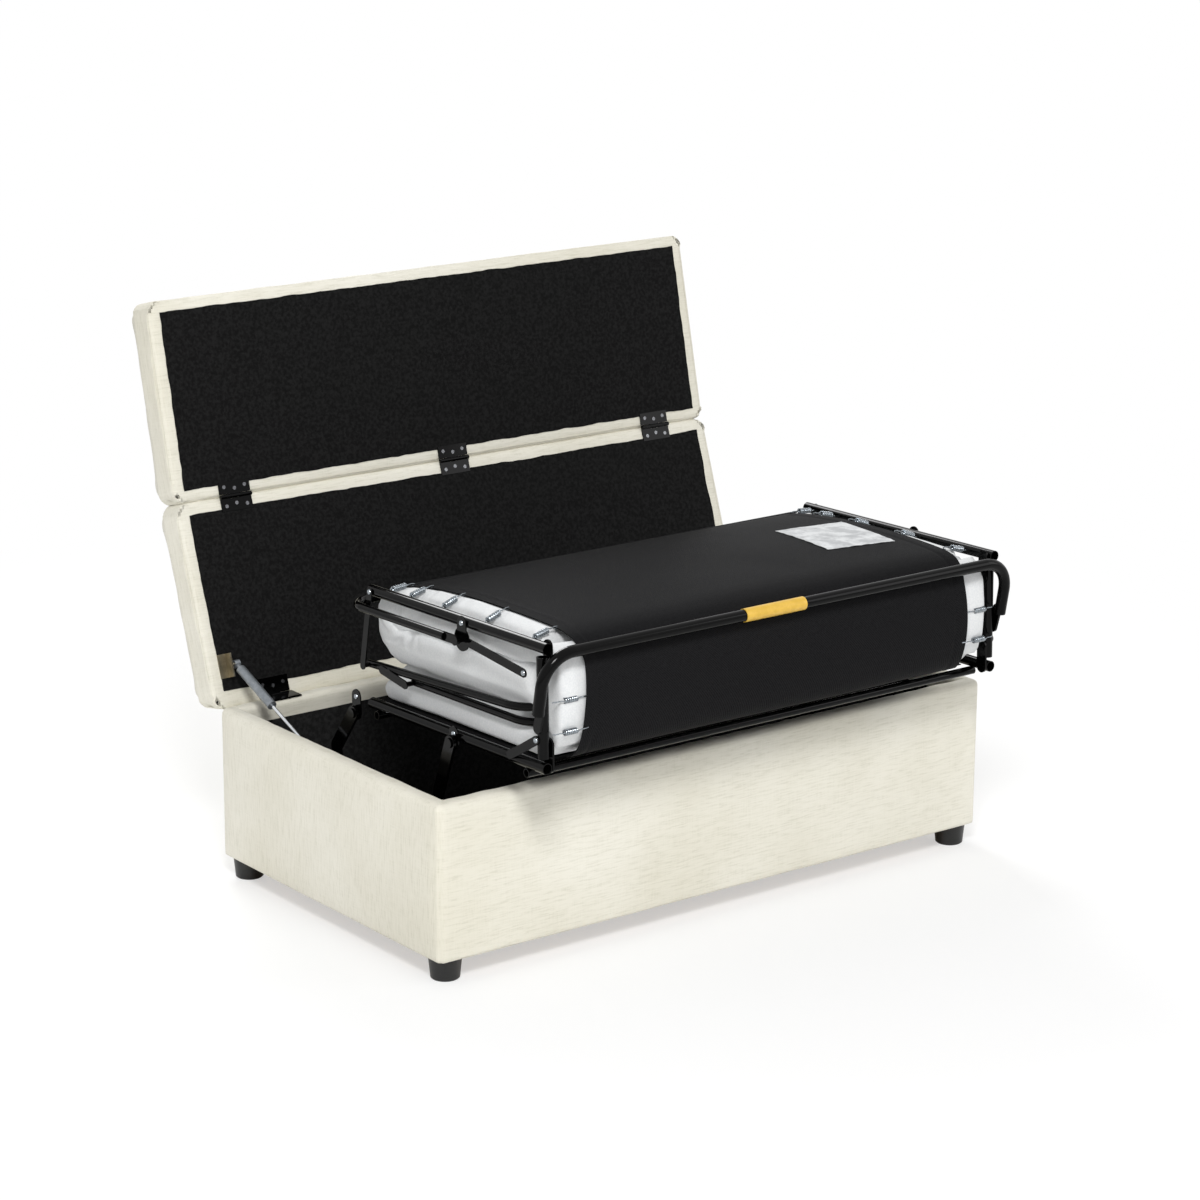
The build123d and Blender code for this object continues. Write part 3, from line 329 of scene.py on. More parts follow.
# Swells a closed shape like stuffing does, no point further than the cap, held where held is True.
def puff(piece, voxelMm, pressure, capMm, held=None):
    applyModifier(piece, "REMESH", mode="VOXEL", voxel_size=voxelMm * mm)
    before = readPoints(piece)
    fixed = held(before) if held else numpy.zeros(len(before), bool)
    group = piece.vertex_groups.new(name="held")
    group.add([int(i) for i in numpy.nonzero(fixed)[0]], 1.0, "REPLACE")
    activate(piece)
    cloth = piece.modifiers.new("cloth", "CLOTH")
    cloth.settings.quality = 4
    cloth.settings.use_pressure = True
    cloth.settings.uniform_pressure_force = pressure
    cloth.settings.effector_weights.gravity = 0
    cloth.settings.bending_stiffness = 0.4
    cloth.collision_settings.use_collision = False
    if fixed.any():
        cloth.settings.vertex_group_mass = "held"
    cloth.point_cache.frame_start = 1
    cloth.point_cache.frame_end = 20
    for number in range(1, 21):
        bpy.context.scene.frame_set(number)
    bpy.ops.object.modifier_apply(modifier="cloth")
    piece.vertex_groups.clear()
    bpy.context.scene.frame_set(1)
    moved = readPoints(piece) - before
    length = numpy.linalg.norm(moved, axis=1, keepdims=True)
    moved *= numpy.minimum(1, capMm * mm / numpy.maximum(length, 1e-9))
    writePoints(piece, before + moved)


# The camera and the light come first.
view = {"place": (-3.4554, -4.4817, 2.0296), "target": (-0.0653, 0, 0.4496), "rollDegrees": 0.215,
        "lensMm": 106.33, "shift": (0.0212, 0.0071)}
bpy.ops.object.camera_add(location=view["place"])
camera = bpy.context.object
towards = Vector(view["target"]) - Vector(view["place"])
camera.rotation_mode = "QUATERNION"
camera.rotation_quaternion = (towards.to_track_quat("-Z", "Y")
                              @ Matrix.Rotation(math.radians(view["rollDegrees"]), 4, "Z").to_quaternion())
camera.data.lens = view["lensMm"]
camera.data.sensor_width = 36
camera.data.shift_x, camera.data.shift_y = view["shift"]
camera.data.clip_end = 60
bpy.context.scene.camera = camera
bpy.context.scene.view_settings.view_transform = "Standard"

studio = {"key": (165, 1.1, (-2.4, -3.2, 3.7)), "fill": (30, 2.2, (3.6, -3.0, 2.2)),
          "back": (120, 2.0, (1.0, 3.9, 3.2)), "ambient": 0.5}
for name in ("key", "fill", "back"):
    power, size, place = studio[name]
    bpy.ops.object.light_add(type="AREA", location=place)
    lamp = bpy.context.object
    lamp.name = name + "Light"
    lamp.data.energy, lamp.data.size = power, size
    lamp.rotation_euler = (Vector((0, 0, 0.35)) - Vector(place)).to_track_quat("-Z", "Y").to_euler()

world = bpy.data.worlds.new("paleStudio")
bpy.context.scene.world = world
world.use_nodes = True
world.node_tree.nodes.clear()
ray = addNode(world, "ShaderNodeLightPath")
direct = addNode(world, "ShaderNodeMath", {"operation": "MAXIMUM"},
                 {0: (ray, "Is Camera Ray"), 1: (ray, "Is Transmission Ray")})
seen = addNode(world, "ShaderNodeMath", {"operation": "MAXIMUM"}, {0: (direct, 0), 1: (ray, "Is Glossy Ray")})
lit = addNode(world, "ShaderNodeBackground", Color=(1, 1, 1, 1), Strength=studio["ambient"])
white = addNode(world, "ShaderNodeBackground", Color=(1, 1, 1, 1))
pick = addNode(world, "ShaderNodeMixShader", links={0: (seen, 0), 1: (lit, 0), 2: (white, 0)})
addNode(world, "ShaderNodeOutputWorld", links={"Surface": (pick, 0)})

bpy.ops.object.select_all(action="DESELECT")
bpy.ops.mesh.primitive_plane_add(size=30, location=(0, 0, 0))
floor = bpy.context.object
floor.name = "floor"
# Matt pale paint: it keeps the shadow and fades into the white background away from the object.
floorPaint, floorPlace = startMaterial("palePaint")
floorNoise = addNode(floorPaint, "ShaderNodeTexNoise", links={"Vector": (floorPlace, "Object")}, Scale=0.6)
floorTone = addNode(floorPaint, "ShaderNodeValToRGB", links={"Fac": (floorNoise, 0)},
                    stops=[(0.3, "#F7F7F6"), (0.7, "#FAFAFA")])
floorSurface = addNode(floorPaint, "ShaderNodeBsdfPrincipled", links={"Base Color": (floorTone, 0)},
                       Roughness=0.9, Specular_IOR_Level=0.1)
reach = addNode(floorPaint, "ShaderNodeVectorMath", {"operation": "LENGTH"}, {0: (floorPlace, "Object")})
fade = addNode(floorPaint, "ShaderNodeMapRange", {"interpolation_type": "SMOOTHSTEP"}, {"Value": (reach, 1)},
               From_Min=0.8, From_Max=2.4, To_Min=0.5, To_Max=1.0)
floorRay = addNode(floorPaint, "ShaderNodeLightPath")
shown = addNode(floorPaint, "ShaderNodeMath", {"operation": "MULTIPLY"},
                {0: (fade, 0), 1: (floorRay, "Is Camera Ray")})
glow = addNode(floorPaint, "ShaderNodeEmission")
floorMix = addNode(floorPaint, "ShaderNodeMixShader", links={0: (shown, 0), 1: (floorSurface, 0), 2: (glow, 0)})
addNode(floorPaint, "ShaderNodeOutputMaterial", links={"Surface": (floorMix, 0)})
floor.data.materials.append(floorPaint)
print("camera and light made")

# Rigid CAD pieces keep their shape and get their finish.
finishes = {
    powderCoat: ["base_hinge_leaves", "rear_lid_base_leaves", "rear_lid_fold_leaves", "front_lid_fold_leaves",
                 "front_lift_arms", "rear_lift_arms", "arm_wall_brackets", "lower_rails", "lower_cross_tubes",
                 "lower_pivot_plates", "front_rails", "front_joint_plates", "front_levers", "pull_bar",
                 "top_rails", "inner_frame", "inner_leg", "leg_discs", "back_links", "inner_links",
                 "middle_leg"],
    boardWood: ["base_floor", "base_board_front", "base_board_back", "base_board_left", "base_board_right",
                "rear_lid_board", "front_lid_board"],
    zincPlate: ["lower_rivets", "front_rivets", "top_rivets"],
    strutPaint: ["strut_cylinders"],
    chromeRod: ["strut_rods"],
    yellowZinc: ["strut_lid_brackets", "strut_wall_brackets"],
    vinylSleeve: ["pull_sleeve"],
    footPlastic: ["foot_front_left", "foot_front_right", "foot_back_left", "foot_back_right"],
}
for material, names in finishes.items():
    for name in names:
        if cadNodes[name].material_slots:
            cadNodes[name].material_slots[0].material = material
        else:
            cadNodes[name].data.materials.append(material)
print("rigid pieces finished")

box = {"halfLength": 0.560, "halfDepth": 0.316, "low": 0.035, "rim": 0.292, "corner": 0.013,
       "bellyMm": 8.0, "wrap": 0.031, "wall": 0.030, "seamDepthMm": 1.6}


# The padded cover: each side bellies a little between its corner seams, rolls over the rim and turns in.
def makeBoxCover():
    b = box
    inner = b["wall"]
    profile = [(-0.012, b["low"] + 0.0005), (-0.006, b["low"] + 0.0005), (-0.0015, b["low"] + 0.003),
               (0.0, b["low"] + 0.010), (0.0, 0.10), (0.0, 0.18), (0.0, 0.25), (0.0, b["rim"] - 0.012),
               (-0.0025, b["rim"] - 0.004), (-0.009, b["rim"] - 0.0002), (-0.016, b["rim"]),
               (-inner + 0.006, b["rim"] - 0.0005), (-inner + 0.0008, b["rim"] - 0.006),
               (-inner, b["rim"] - 0.014), (-inner, b["rim"] - b["wrap"])]
    section, length = smoothLine(profile, 76)
    corners = ((1, -1, -90), (1, 1, 0), (-1, 1, 90), (-1, -1, 180))
    ring, kind = [], []
    for index, (signX, signY, start) in enumerate(corners):
        centre = (signX * (b["halfLength"] - b["corner"]), signY * (b["halfDepth"] - b["corner"]))
        for t in numpy.linspace(0, 1, 9):
            a = math.radians(start + 90 * t)
            ring.append((centre[0], centre[1], math.cos(a), math.sin(a)))
            kind.append((0.0, abs(t - 0.5)))
        following = corners[(index + 1) % 4]
        nextX = following[0] * (b["halfLength"] - b["corner"])
        nextY = following[1] * (b["halfDepth"] - b["corner"])
        a = math.radians(start + 90)
        steps = 150 if abs(nextX - centre[0]) > 0.7 else 90
        for t in numpy.linspace(0, 1, steps)[1:-1]:
            ring.append((centre[0] + (nextX - centre[0]) * t, centre[1] + (nextY - centre[1]) * t,
                         math.cos(a), math.sin(a)))
            kind.append((math.sin(math.pi * t), 1.0))
    ring.append(ring[0])
    kind.append(kind[0])
    ring, kind = numpy.array(ring), numpy.array(kind)

    def place(u, v):
        i = numpy.rint(u * (len(ring) - 1)).astype(int)
        j = numpy.rint(v * (len(section) - 1)).astype(int)
        out, z = section[j, 0], section[j, 1]
        radius = numpy.maximum(b["corner"] + out, 0.0012)
        outer = (out > -0.004)
        height = numpy.clip((z - b["low"]) / (b["rim"] - b["low"]), 0, 1)
        sideShare = numpy.where(numpy.abs(ring[i, 2]) > 0.5, 1.0, 0.6)
        belly = b["bellyMm"] * mm * sideShare * kind[i, 0] ** 0.4 * numpy.sin(math.pi * height) ** 0.6 * outer
        seam = b["seamDepthMm"] * mm * numpy.exp(-(kind[i, 1] / 0.14) ** 2) * (kind[i, 1] < 0.6)
        radius = radius + belly - seam
        x = ring[i, 0] + ring[i, 2] * radius
        y = ring[i, 1] + ring[i, 3] * radius
        inwards = b["corner"] + out
        deep = inwards < 0
        x = numpy.where(deep, ring[i, 0] + ring[i, 2] * inwards, x)
        y = numpy.where(deep, ring[i, 1] + ring[i, 3] * inwards, y)
        limitX = b["halfLength"] - inner
        limitY = b["halfDepth"] - inner
        isCorner = kind[i, 0] == 0.0
        x = numpy.where(deep & isCorner, numpy.sign(ring[i, 0]) * (b["halfLength"] + out), x)
        y = numpy.where(deep & isCorner, numpy.sign(ring[i, 1]) * (b["halfDepth"] + out), y)
        pull = numpy.exp(-((z - b["rim"]) / 0.03) ** 2)
        points = numpy.stack([x, y, z], 1)
        wave = ripple(points, 75, 1.0, 3) + ripple(points, 28, 0.35, 9) * pull
        side = numpy.where(isCorner, 0, 1)
        x = x + ring[i, 2] * wave * side * (b["halfLength"] + out > limitX)
        y = y + ring[i, 3] * wave * side * (b["halfDepth"] + out > limitY)
        z = z + ripple(numpy.stack([x, y, z], 1), 30, 1.0, 5) * (out < -0.006) * (height > 0.5)
        return numpy.stack([x, y, z], 1)

    piece = layGrid(len(ring) - 1, len(section) - 1, place)
    turnOutwards(piece)
    applyModifier(piece, "SOLIDIFY", thickness=0.0012, offset=-1)
    return dress(piece, "boxCover", boxLinen, "base", ["base_cover"], smooth=60)


makeBoxCover()
print("box cover made")


boxLining = {"halfX": 0.5292, "halfY": 0.2852, "low": 0.0415, "top": 0.2625, "flat": (3.26, 0.221)}


# The lining hangs on the inside of the boards under the turned-in cover.
def makeBoxLining():
    halfX, halfY = boxLining["halfX"], boxLining["halfY"]
    low, top = boxLining["low"], boxLining["top"]

    def place(u, v):
        run = u * 2 * (halfX + halfY) * 2
        x = numpy.empty_like(u)
        y = numpy.empty_like(u)
        edges = [0, 2 * halfX, 2 * halfX + 2 * halfY, 4 * halfX + 2 * halfY, 4 * halfX + 4 * halfY]
        front = run <= edges[1]
        right = (run > edges[1]) & (run <= edges[2])
        back = (run > edges[2]) & (run <= edges[3])
        left = run > edges[3]
        x[front], y[front] = -halfX + run[front], -halfY
        x[right], y[right] = halfX, -halfY + run[right] - edges[1]
        x[back], y[back] = halfX - (run[back] - edges[2]), halfY
        x[left], y[left] = -halfX, halfY - (run[left] - edges[3])
        z = low + (top - low) * v
        points = numpy.stack([x, y, z], 1)
        wave = ripple(points, 70, 0.7, 12)
        points[:, 0] += numpy.where(numpy.abs(x) >= halfX - 1e-6, wave * -numpy.sign(x), 0)
        points[:, 1] += numpy.where(numpy.abs(y) >= halfY - 1e-6, wave * -numpy.sign(y), 0)
        return points

    piece = layGrid(400, 24, place)
    turnOutwards(piece)
    # The walls take the felt painted a shade lighter, as painted light.
    dress(piece, "boxLining", nonWovenWithPaintedLight, "base", ["base_lining"], smooth=40)


makeBoxLining()


# A loose black sheet on the floor panel.
def makeFloorLining():
    def place(u, v):
        points = numpy.stack([(2 * u - 1) * 0.5285, (2 * v - 1) * 0.2845, numpy.full_like(u, 0.0416)], 1)
        points[:, 2] += numpy.abs(ripple(points, 90, 1.0, 14))
        return points

    piece = layGrid(120, 70, place)
    # The sheet takes the felt painted a shade lighter, as painted light.
    dress(piece, "floorLining", nonWovenWithPaintedLight, "base", smooth=40)


makeFloorLining()

lid = {"halfLength": 0.560, "depth": 0.335, "back": 0.316, "thickness": 0.100, "low": 0.2964, "gap": 0.002,
       "sideMargin": 0.021, "edgeMargin": 0.019, "seamDepthMm": 1.8, "meetMm": 1.9, "sagMm": 11.0,
       "cornerRadius": 0.019, "bevel": 0.024, "pressure": 3.5, "capMm": 9}
lidMiddle = lid["back"] - lid["depth"] / 2    # of the rear half, shut


# One half of the lid, shut: a boxed cushion over a board, stuffed by simulation. The second half is a
# copy of the first, with creases of its own.
def makeLidCushion():
    l = lid
    bpy.ops.object.select_all(action="DESELECT")
    # It swells, so it starts smaller.
    bpy.ops.mesh.primitive_cube_add(size=1, location=(0, lidMiddle, l["low"] + l["thickness"] / 2 - 0.0037))
    piece = bpy.context.object
    piece.scale = (2 * l["halfLength"] - 0.003, l["depth"] - 0.001, l["thickness"] - 0.008)
    bpy.ops.object.transform_apply(location=True, rotation=False, scale=True)
    bpy.ops.object.mode_set(mode="EDIT")
    bpy.ops.mesh.select_all(action="DESELECT")
    bpy.ops.object.mode_set(mode="OBJECT")
    for edge in piece.data.edges:
        heights = [piece.data.vertices[i].co.z for i in edge.vertices]
        edge.select = max(heights) > l["low"] + 0.05
    bpy.ops.object.mode_set(mode="EDIT")
    bpy.ops.mesh.bevel(offset=l["bevel"], segments=6, affect="EDGES")
    bpy.ops.object.mode_set(mode="OBJECT")

    def held(points):
        return points[:, 2] < l["low"] + 0.008

    puff(piece, 8.0, l["pressure"], l["capMm"], held)
    applyModifier(piece, "SUBSURF", levels=1, render_levels=1)
    points, normals = readPoints(piece), readNormals(piece)
    low = l["low"] + 0.0003
    halfX, halfY = l["halfLength"] - 0.0004, l["depth"] / 2 - 0.0003
    points[:, 2] = numpy.clip(points[:, 2], low, l["low"] + l["thickness"] + 0.004)
    # The cover is drawn tight over the board's edges, so low down the sides come out to full size.
    for axis, middle, half in ((0, 0, halfX), (1, lidMiddle, halfY)):
        out = numpy.abs(points[:, axis] - middle)
        up = points[:, 2] - l["low"]
        level = numpy.clip((up / 0.004).astype(int), 0, 30)
        reach = numpy.array([out[level == i].max(initial=half - 0.03) for i in range(31)])
        wanted = half - 0.0030 * numpy.clip(1 - up / 0.005, 0, 1) ** 2
        wanted = numpy.maximum(wanted, reach[level])
        share = numpy.clip((out - half + 0.045) / (reach[level] - half + 0.045), 0, 1)
        share = numpy.maximum(share, numpy.clip((numpy.abs(normals[:, axis]) - 0.3) / 0.3, 0, 1))
        full = half - 0.045 + share * (wanted - half + 0.045)
        blend = numpy.clip((0.070 - up) / 0.020, 0, 1) * (out > half - 0.045)
        points[:, axis] = middle + numpy.sign(points[:, axis] - middle) * (out + (full - out) * blend)
    # The upright corners stay round.
    radius = l["cornerRadius"]
    acrossX = numpy.maximum(numpy.abs(points[:, 0]) - halfX + radius, 0)
    acrossY = numpy.maximum(numpy.abs(points[:, 1] - lidMiddle) - halfY + radius, 0)
    tooFar = numpy.maximum(numpy.hypot(acrossX, acrossY) / radius, 1)
    corner = (acrossX > 0) & (acrossY > 0)
    points[:, 0] -= numpy.where(corner, numpy.sign(points[:, 0]) * acrossX * (1 - 1 / tooFar), 0)
    points[:, 1] -= numpy.where(corner, numpy.sign(points[:, 1] - lidMiddle) * acrossY * (1 - 1 / tooFar), 0)
    # Underneath the cover is stapled flat, out to a small round edge that covers the board's corners.
    flat = (numpy.abs(points[:, 0]) < halfX - 0.0036) & (numpy.abs(points[:, 1] - lidMiddle) < halfY - 0.0022)
    onBoard = (numpy.abs(points[:, 0]) < 0.5530) & (numpy.abs(points[:, 1] - lidMiddle) < 0.1605)
    under = numpy.where(onBoard, 1, numpy.clip((-normals[:, 2] - 0.2) / 0.4, 0, 1) * (flat | corner))
    points[:, 2] += (low - points[:, 2]) * under * (points[:, 2] < l["low"] + 0.008)
    points[:, 0] = numpy.clip(points[:, 0], -halfX - 0.0064, halfX + 0.0064)
    points[:, 1] = numpy.clip(points[:, 1], lidMiddle - halfY - 0.0007, lidMiddle + halfY + 0.0007)
    writePoints(piece, points)
    return piece


def finishLid(piece, offset, name, material, body, turns, node, seed, meets):
    l = lid
    points, normals = readPoints(piece), readNormals(piece)
    halfX, halfY, top = l["halfLength"], l["depth"] / 2, l["thickness"] - 0.012
    x, y, z = points[:, 0], points[:, 1] - lidMiddle, points[:, 2] - l["low"]
    above = numpy.clip((z - 0.003) / 0.014, 0, 1)
    # The seams run up the corners and round the top.
    cornerSeam = numpy.hypot(halfX - 0.006 - numpy.abs(x), halfY - 0.006 - numpy.abs(y))
    groove = numpy.exp(-(cornerSeam / 0.0045) ** 2) * (z < 0.085)
    topSeamX = numpy.hypot(halfX - 0.004 - numpy.abs(x), top - z)
    topSeamY = numpy.hypot(halfY - 0.004 - numpy.abs(y), top - z)
    groove = numpy.maximum(groove, 0.75 * numpy.exp(-(numpy.minimum(topSeamX, topSeamY) / 0.005) ** 2))
    crease = ripple(points, 60, 1.5, seed) + ripple(points, 26, 0.6, seed + 4)
    points += normals * ((crease - groove * l["seamDepthMm"] * mm) * above)[:, None]
    # The two halves press together at the fold, which stands open by its angle, and the rear half's
    # lowest edge rests on the box.
    wedge = math.tan(math.radians(lidFold[1]) / 2)
    face = numpy.clip((meets * y - 0.140) / 0.020, 0, 1) * numpy.clip((0.556 - numpy.abs(x)) / 0.012, 0, 1)
    fill = (l["meetMm"] * mm + wedge * numpy.clip(z + 0.003, 0, 1)) * numpy.clip((0.096 - z) / 0.014, 0, 1)
    fill *= numpy.clip((z - 0.001) / 0.007, 0, 1)
    points[:, 1] += meets * face * fill
    if meets < 0:
        back = numpy.clip((y - 0.140) / 0.020, 0, 1) * numpy.clip(1 - z / 0.075, 0, 1)
        points[:, 1] += l["sagMm"] * mm * back
    points[:, 1] += offset
    writePoints(piece, points)
    swing(piece, *turns)
    dress(piece, name, material, body, [node], smooth=60)


rearLid = makeLidCushion()
frontLid = copyPiece(rearLid, Matrix.Identity(4))
finishLid(rearLid, 0, "rearLidCushion", lidLinen, "rear_lid", [lidOpen], "rear_lid_cushion", 11, -1)
finishLid(frontLid, -lid["depth"] - lid["gap"], "frontLidCushion", frontLidLinen, "front_lid",
          [lidFold, lidOpen], "front_lid_cushion", 27, 1)
print("lid cushions made")


# The black lining of a lid half, stapled flat with a slightly wavy cut edge.
def makeLidLining(offset, name, body, turns, node, seed):
    l = lid
    halfX = l["halfLength"] - l["sideMargin"]
    halfY = l["depth"] / 2 - l["edgeMargin"]

    def place(u, v):
        x = (2 * u - 1) * halfX
        y = (2 * v - 1) * halfY
        rim = numpy.stack([x, y, numpy.full_like(x, seed)], 1)
        edge = ripple(rim, 38, 2.0, seed) + ripple(rim, 15, 0.8, seed + 1)
        x = x + edge * numpy.sign(x) * (numpy.abs(2 * u - 1) ** 12)
        y = y + edge * numpy.sign(y) * (numpy.abs(2 * v - 1) ** 12)
        inside = numpy.minimum(1 - numpy.abs(2 * u - 1) ** 10, 1 - numpy.abs(2 * v - 1) ** 6)
        z = numpy.full_like(x, l["low"] - 0.0004) - inside * (0.0010 + ripple(rim, 60, 0.9, seed + 2)
                                                            + ripple(rim, 22, 0.35, seed + 3))
        return numpy.stack([x, lidMiddle + offset + y, z], 1)

    piece = layGrid(240, 80, place)
    swing(piece, *turns)
    applyModifier(piece, "SOLIDIFY", thickness=0.0006, offset=0)
    dress(piece, name, nonWoven, body, [node], smooth=50)


makeLidLining(0, "rearLidLining", "rear_lid", [lidOpen], "rear_lid_lining", 2)
makeLidLining(-lid["depth"] - lid["gap"], "frontLidLining", "front_lid", [lidFold, lidOpen],
              "front_lid_lining", 6)
print("linings made")

cloth = {"topHalf": 0.396, "frontHalf": 0.388, "crown": 0.004, "hem": 0.022, "thickness": 0.0016}
# Its run from the lower hem over the bend to the back, along Y and Z.
slingLine = [(-0.4150, 0.3600), (-0.4300, 0.3670), (-0.4430, 0.3840), (-0.4525, 0.4100), (-0.4580, 0.4400),
             (-0.4595, 0.4700), (-0.4565, 0.5020), (-0.4490, 0.5270), (-0.4350, 0.5450), (-0.4140, 0.5545),
             (-0.3800, 0.5595), (-0.3000, 0.5635), (-0.2000, 0.5645), (-0.1000, 0.5605), (-0.0300, 0.5525),
             (0.0100, 0.5445)]


# The height of the sling over the folded mattress along Y, and its place before the front one along Z.
def topLine(y):
    line = [(-0.4400, 0.5410)] + slingLine[9:]
    return numpy.interp(y, [p[0] for p in line], [p[1] for p in line])


def frontLine(z):
    return numpy.interp(z, [p[1] for p in slingLine[:10]], [p[0] for p in slingLine[:10]])


# The sling over the front and the top, hemmed at its sides, bends at the corner between the sections.
def makeOuterSling():
    c = cloth
    section, length = smoothLine(slingLine, 180)
    along = numpy.gradient(section, axis=0)
    along /= numpy.linalg.norm(along, axis=1, keepdims=True)
    outward = numpy.stack([-along[:, 1], along[:, 0]], 1)

    def place(u, v):
        j = numpy.rint(v * (len(section) - 1)).astype(int)
        half = numpy.interp(v, [0, 0.05, 0.15, 0.26, 0.34, 0.5, 0.8, 1.0],
                            [c["frontHalf"] + 0.006, c["frontHalf"] + 0.003, c["frontHalf"] + 0.001,
                             c["frontHalf"] - 0.003, c["topHalf"] - 0.004, c["topHalf"] - 0.001, c["topHalf"],
                             c["topHalf"] + 0.003])
        across = 2 * u - 1
        x = across * half
        onTop = numpy.clip((v - 0.25) / 0.15, 0, 1)
        crown = c["crown"] * (1 - across ** 2) * (0.35 + 0.65 * onTop)
        ends = numpy.clip((1 - v) / 0.06, 0, 1)
        edgeDrop = 0.001 * numpy.abs(across) ** 8 * onTop
        points = numpy.stack([x, section[j, 0], section[j, 1]], 1)
        inset = (1 - numpy.abs(across)) * half
        hem = 0.0006 * (inset < c["hem"]) - 0.0014 * numpy.exp(-((inset - c["hem"]) / 0.0022) ** 2)
        slack = ripple(points, 170, 1.1, 21) + ripple(points, 70, 0.3, 22)
        lift = crown * ends * 0.9 - edgeDrop + hem + slack * ends
        points[:, 1] += outward[j, 0] * lift
        points[:, 2] += outward[j, 1] * lift
        return points

    piece = layGrid(200, len(section) - 1, place)
    applyModifier(piece, "SOLIDIFY", thickness=c["thickness"], offset=-1)
    swing(piece, bedLean)
    dress(piece, "outerSling", slingWeave, None, ["front_sling", "top_sling"], smooth=50)
    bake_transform(piece)
    return piece


outerSling = makeOuterSling()

patch = {"middle": (0.299, -0.2285), "size": (0.131, 0.160), "turnDegrees": -8, "crumpleMm": 1.6}


# A bare pale film glued on the sling, crumpled by the pull of the cloth.
def makeSlingPatch():
    p = patch
    turn = math.radians(p["turnDegrees"])

    def place(u, v):
        across, along = (u - 0.5) * p["size"][0], (v - 0.5) * p["size"][1]
        x = p["middle"][0] + across * math.cos(turn) - along * math.sin(turn)
        y = p["middle"][1] + across * math.sin(turn) + along * math.cos(turn)
        z = [outerSling.closest_point_on_mesh(Vector((a, b, 0.580)))[1].z for a, b in zip(x, y)]
        points = numpy.stack([x, y, numpy.array(z) + 0.0005], 1)
        fold = ripple(points * (1, 1, 0), 26, p["crumpleMm"], 71) + ripple(points * (1, 1, 0), 9, 0.35, 72)
        points[:, 2] += numpy.abs(fold)
        return points

    piece = layGrid(80, 60, place)
    applyModifier(piece, "SOLIDIFY", thickness=0.0003, offset=0)
    # The film's paler tone on its creases is a painted highlight.
    dress(piece, "slingPatch", patchFilmWithPaintedHighlights, "top_section", smooth=25)


makeSlingPatch()


# The sling round the back, and under the folded mattress.
def makeBackSling():
    line = [(0.002, 0.5452), (0.010, 0.5448), (0.026, 0.5340), (0.0375, 0.5150), (0.0405, 0.4970),
            (0.0375, 0.4780), (0.026, 0.4600), (0.010, 0.4490), (-0.02, 0.4482), (-0.12, 0.4476),
            (-0.25, 0.4478), (-0.388, 0.4480)]
    section, length = smoothLine(line, 140)

    def place(u, v):
        j = numpy.rint(v * (len(section) - 1)).astype(int)
        x = (2 * u - 1) * numpy.where(section[j, 1] < 0.452, 0.400, 0.420)
        points = numpy.stack([x, section[j, 0], section[j, 1]], 1)
        wave = ripple(points, 90, 0.8, 31)
        points[:, 1] += wave * (points[:, 1] > 0.012)
        return points

    piece = layGrid(90, len(section) - 1, place)
    applyModifier(piece, "SOLIDIFY", thickness=cloth["thickness"], offset=0)
    swing(piece, bedLean)
    dress(piece, "backSling", slingWeave, "top_section", ["back_sling", "inner_sling"],
          smooth=50)


makeBackSling()


# The sling under the lower mattress, drawn between the cross tubes.
def makeLowerSling():
    def place(u, v):
        x = (2 * u - 1) * 0.428
        y = -0.404 + 0.422 * v
        points = numpy.stack([x, y, numpy.full_like(x, 0.3585)], 1)
        sag = (1 - (2 * u - 1) ** 2) * numpy.sin(math.pi * v) ** 0.5
        points[:, 2] -= 0.0008 * sag - ripple(points, 80, 0.4, 41) * sag
        return points

    piece = layGrid(90, 50, place)
    applyModifier(piece, "SOLIDIFY", thickness=0.0014, offset=0)
    swing(piece, bedLean)
    dress(piece, "lowerSling", slingWeave, "lower_section", ["lower_sling"], smooth=50)


makeLowerSling()
print("slings made")

# A closed shape with one outline in the Y-Z plane, as long as the bed is wide.
def extrudeOutline(outline, half):
    bpy.ops.object.select_all(action="DESELECT")
    bpy.ops.mesh.primitive_circle_add(vertices=len(outline), fill_type="NGON")
    piece = bpy.context.object
    writePoints(piece, [(-half, y, z) for y, z in outline])
    bpy.ops.object.mode_set(mode="EDIT")
    bpy.ops.mesh.select_all(action="SELECT")
    bpy.ops.mesh.extrude_region_move(TRANSFORM_OT_translate={"value": (2 * half, 0, 0)})
    bpy.ops.object.mode_set(mode="OBJECT")
    turnOutwards(piece)
    return piece


folded = {"half": 0.431, "voxelMm": 7.0, "pressure": 3.0, "capMm": 9, "bulge": 0.015, "valley": 0.006,
          "droop": 0.023}


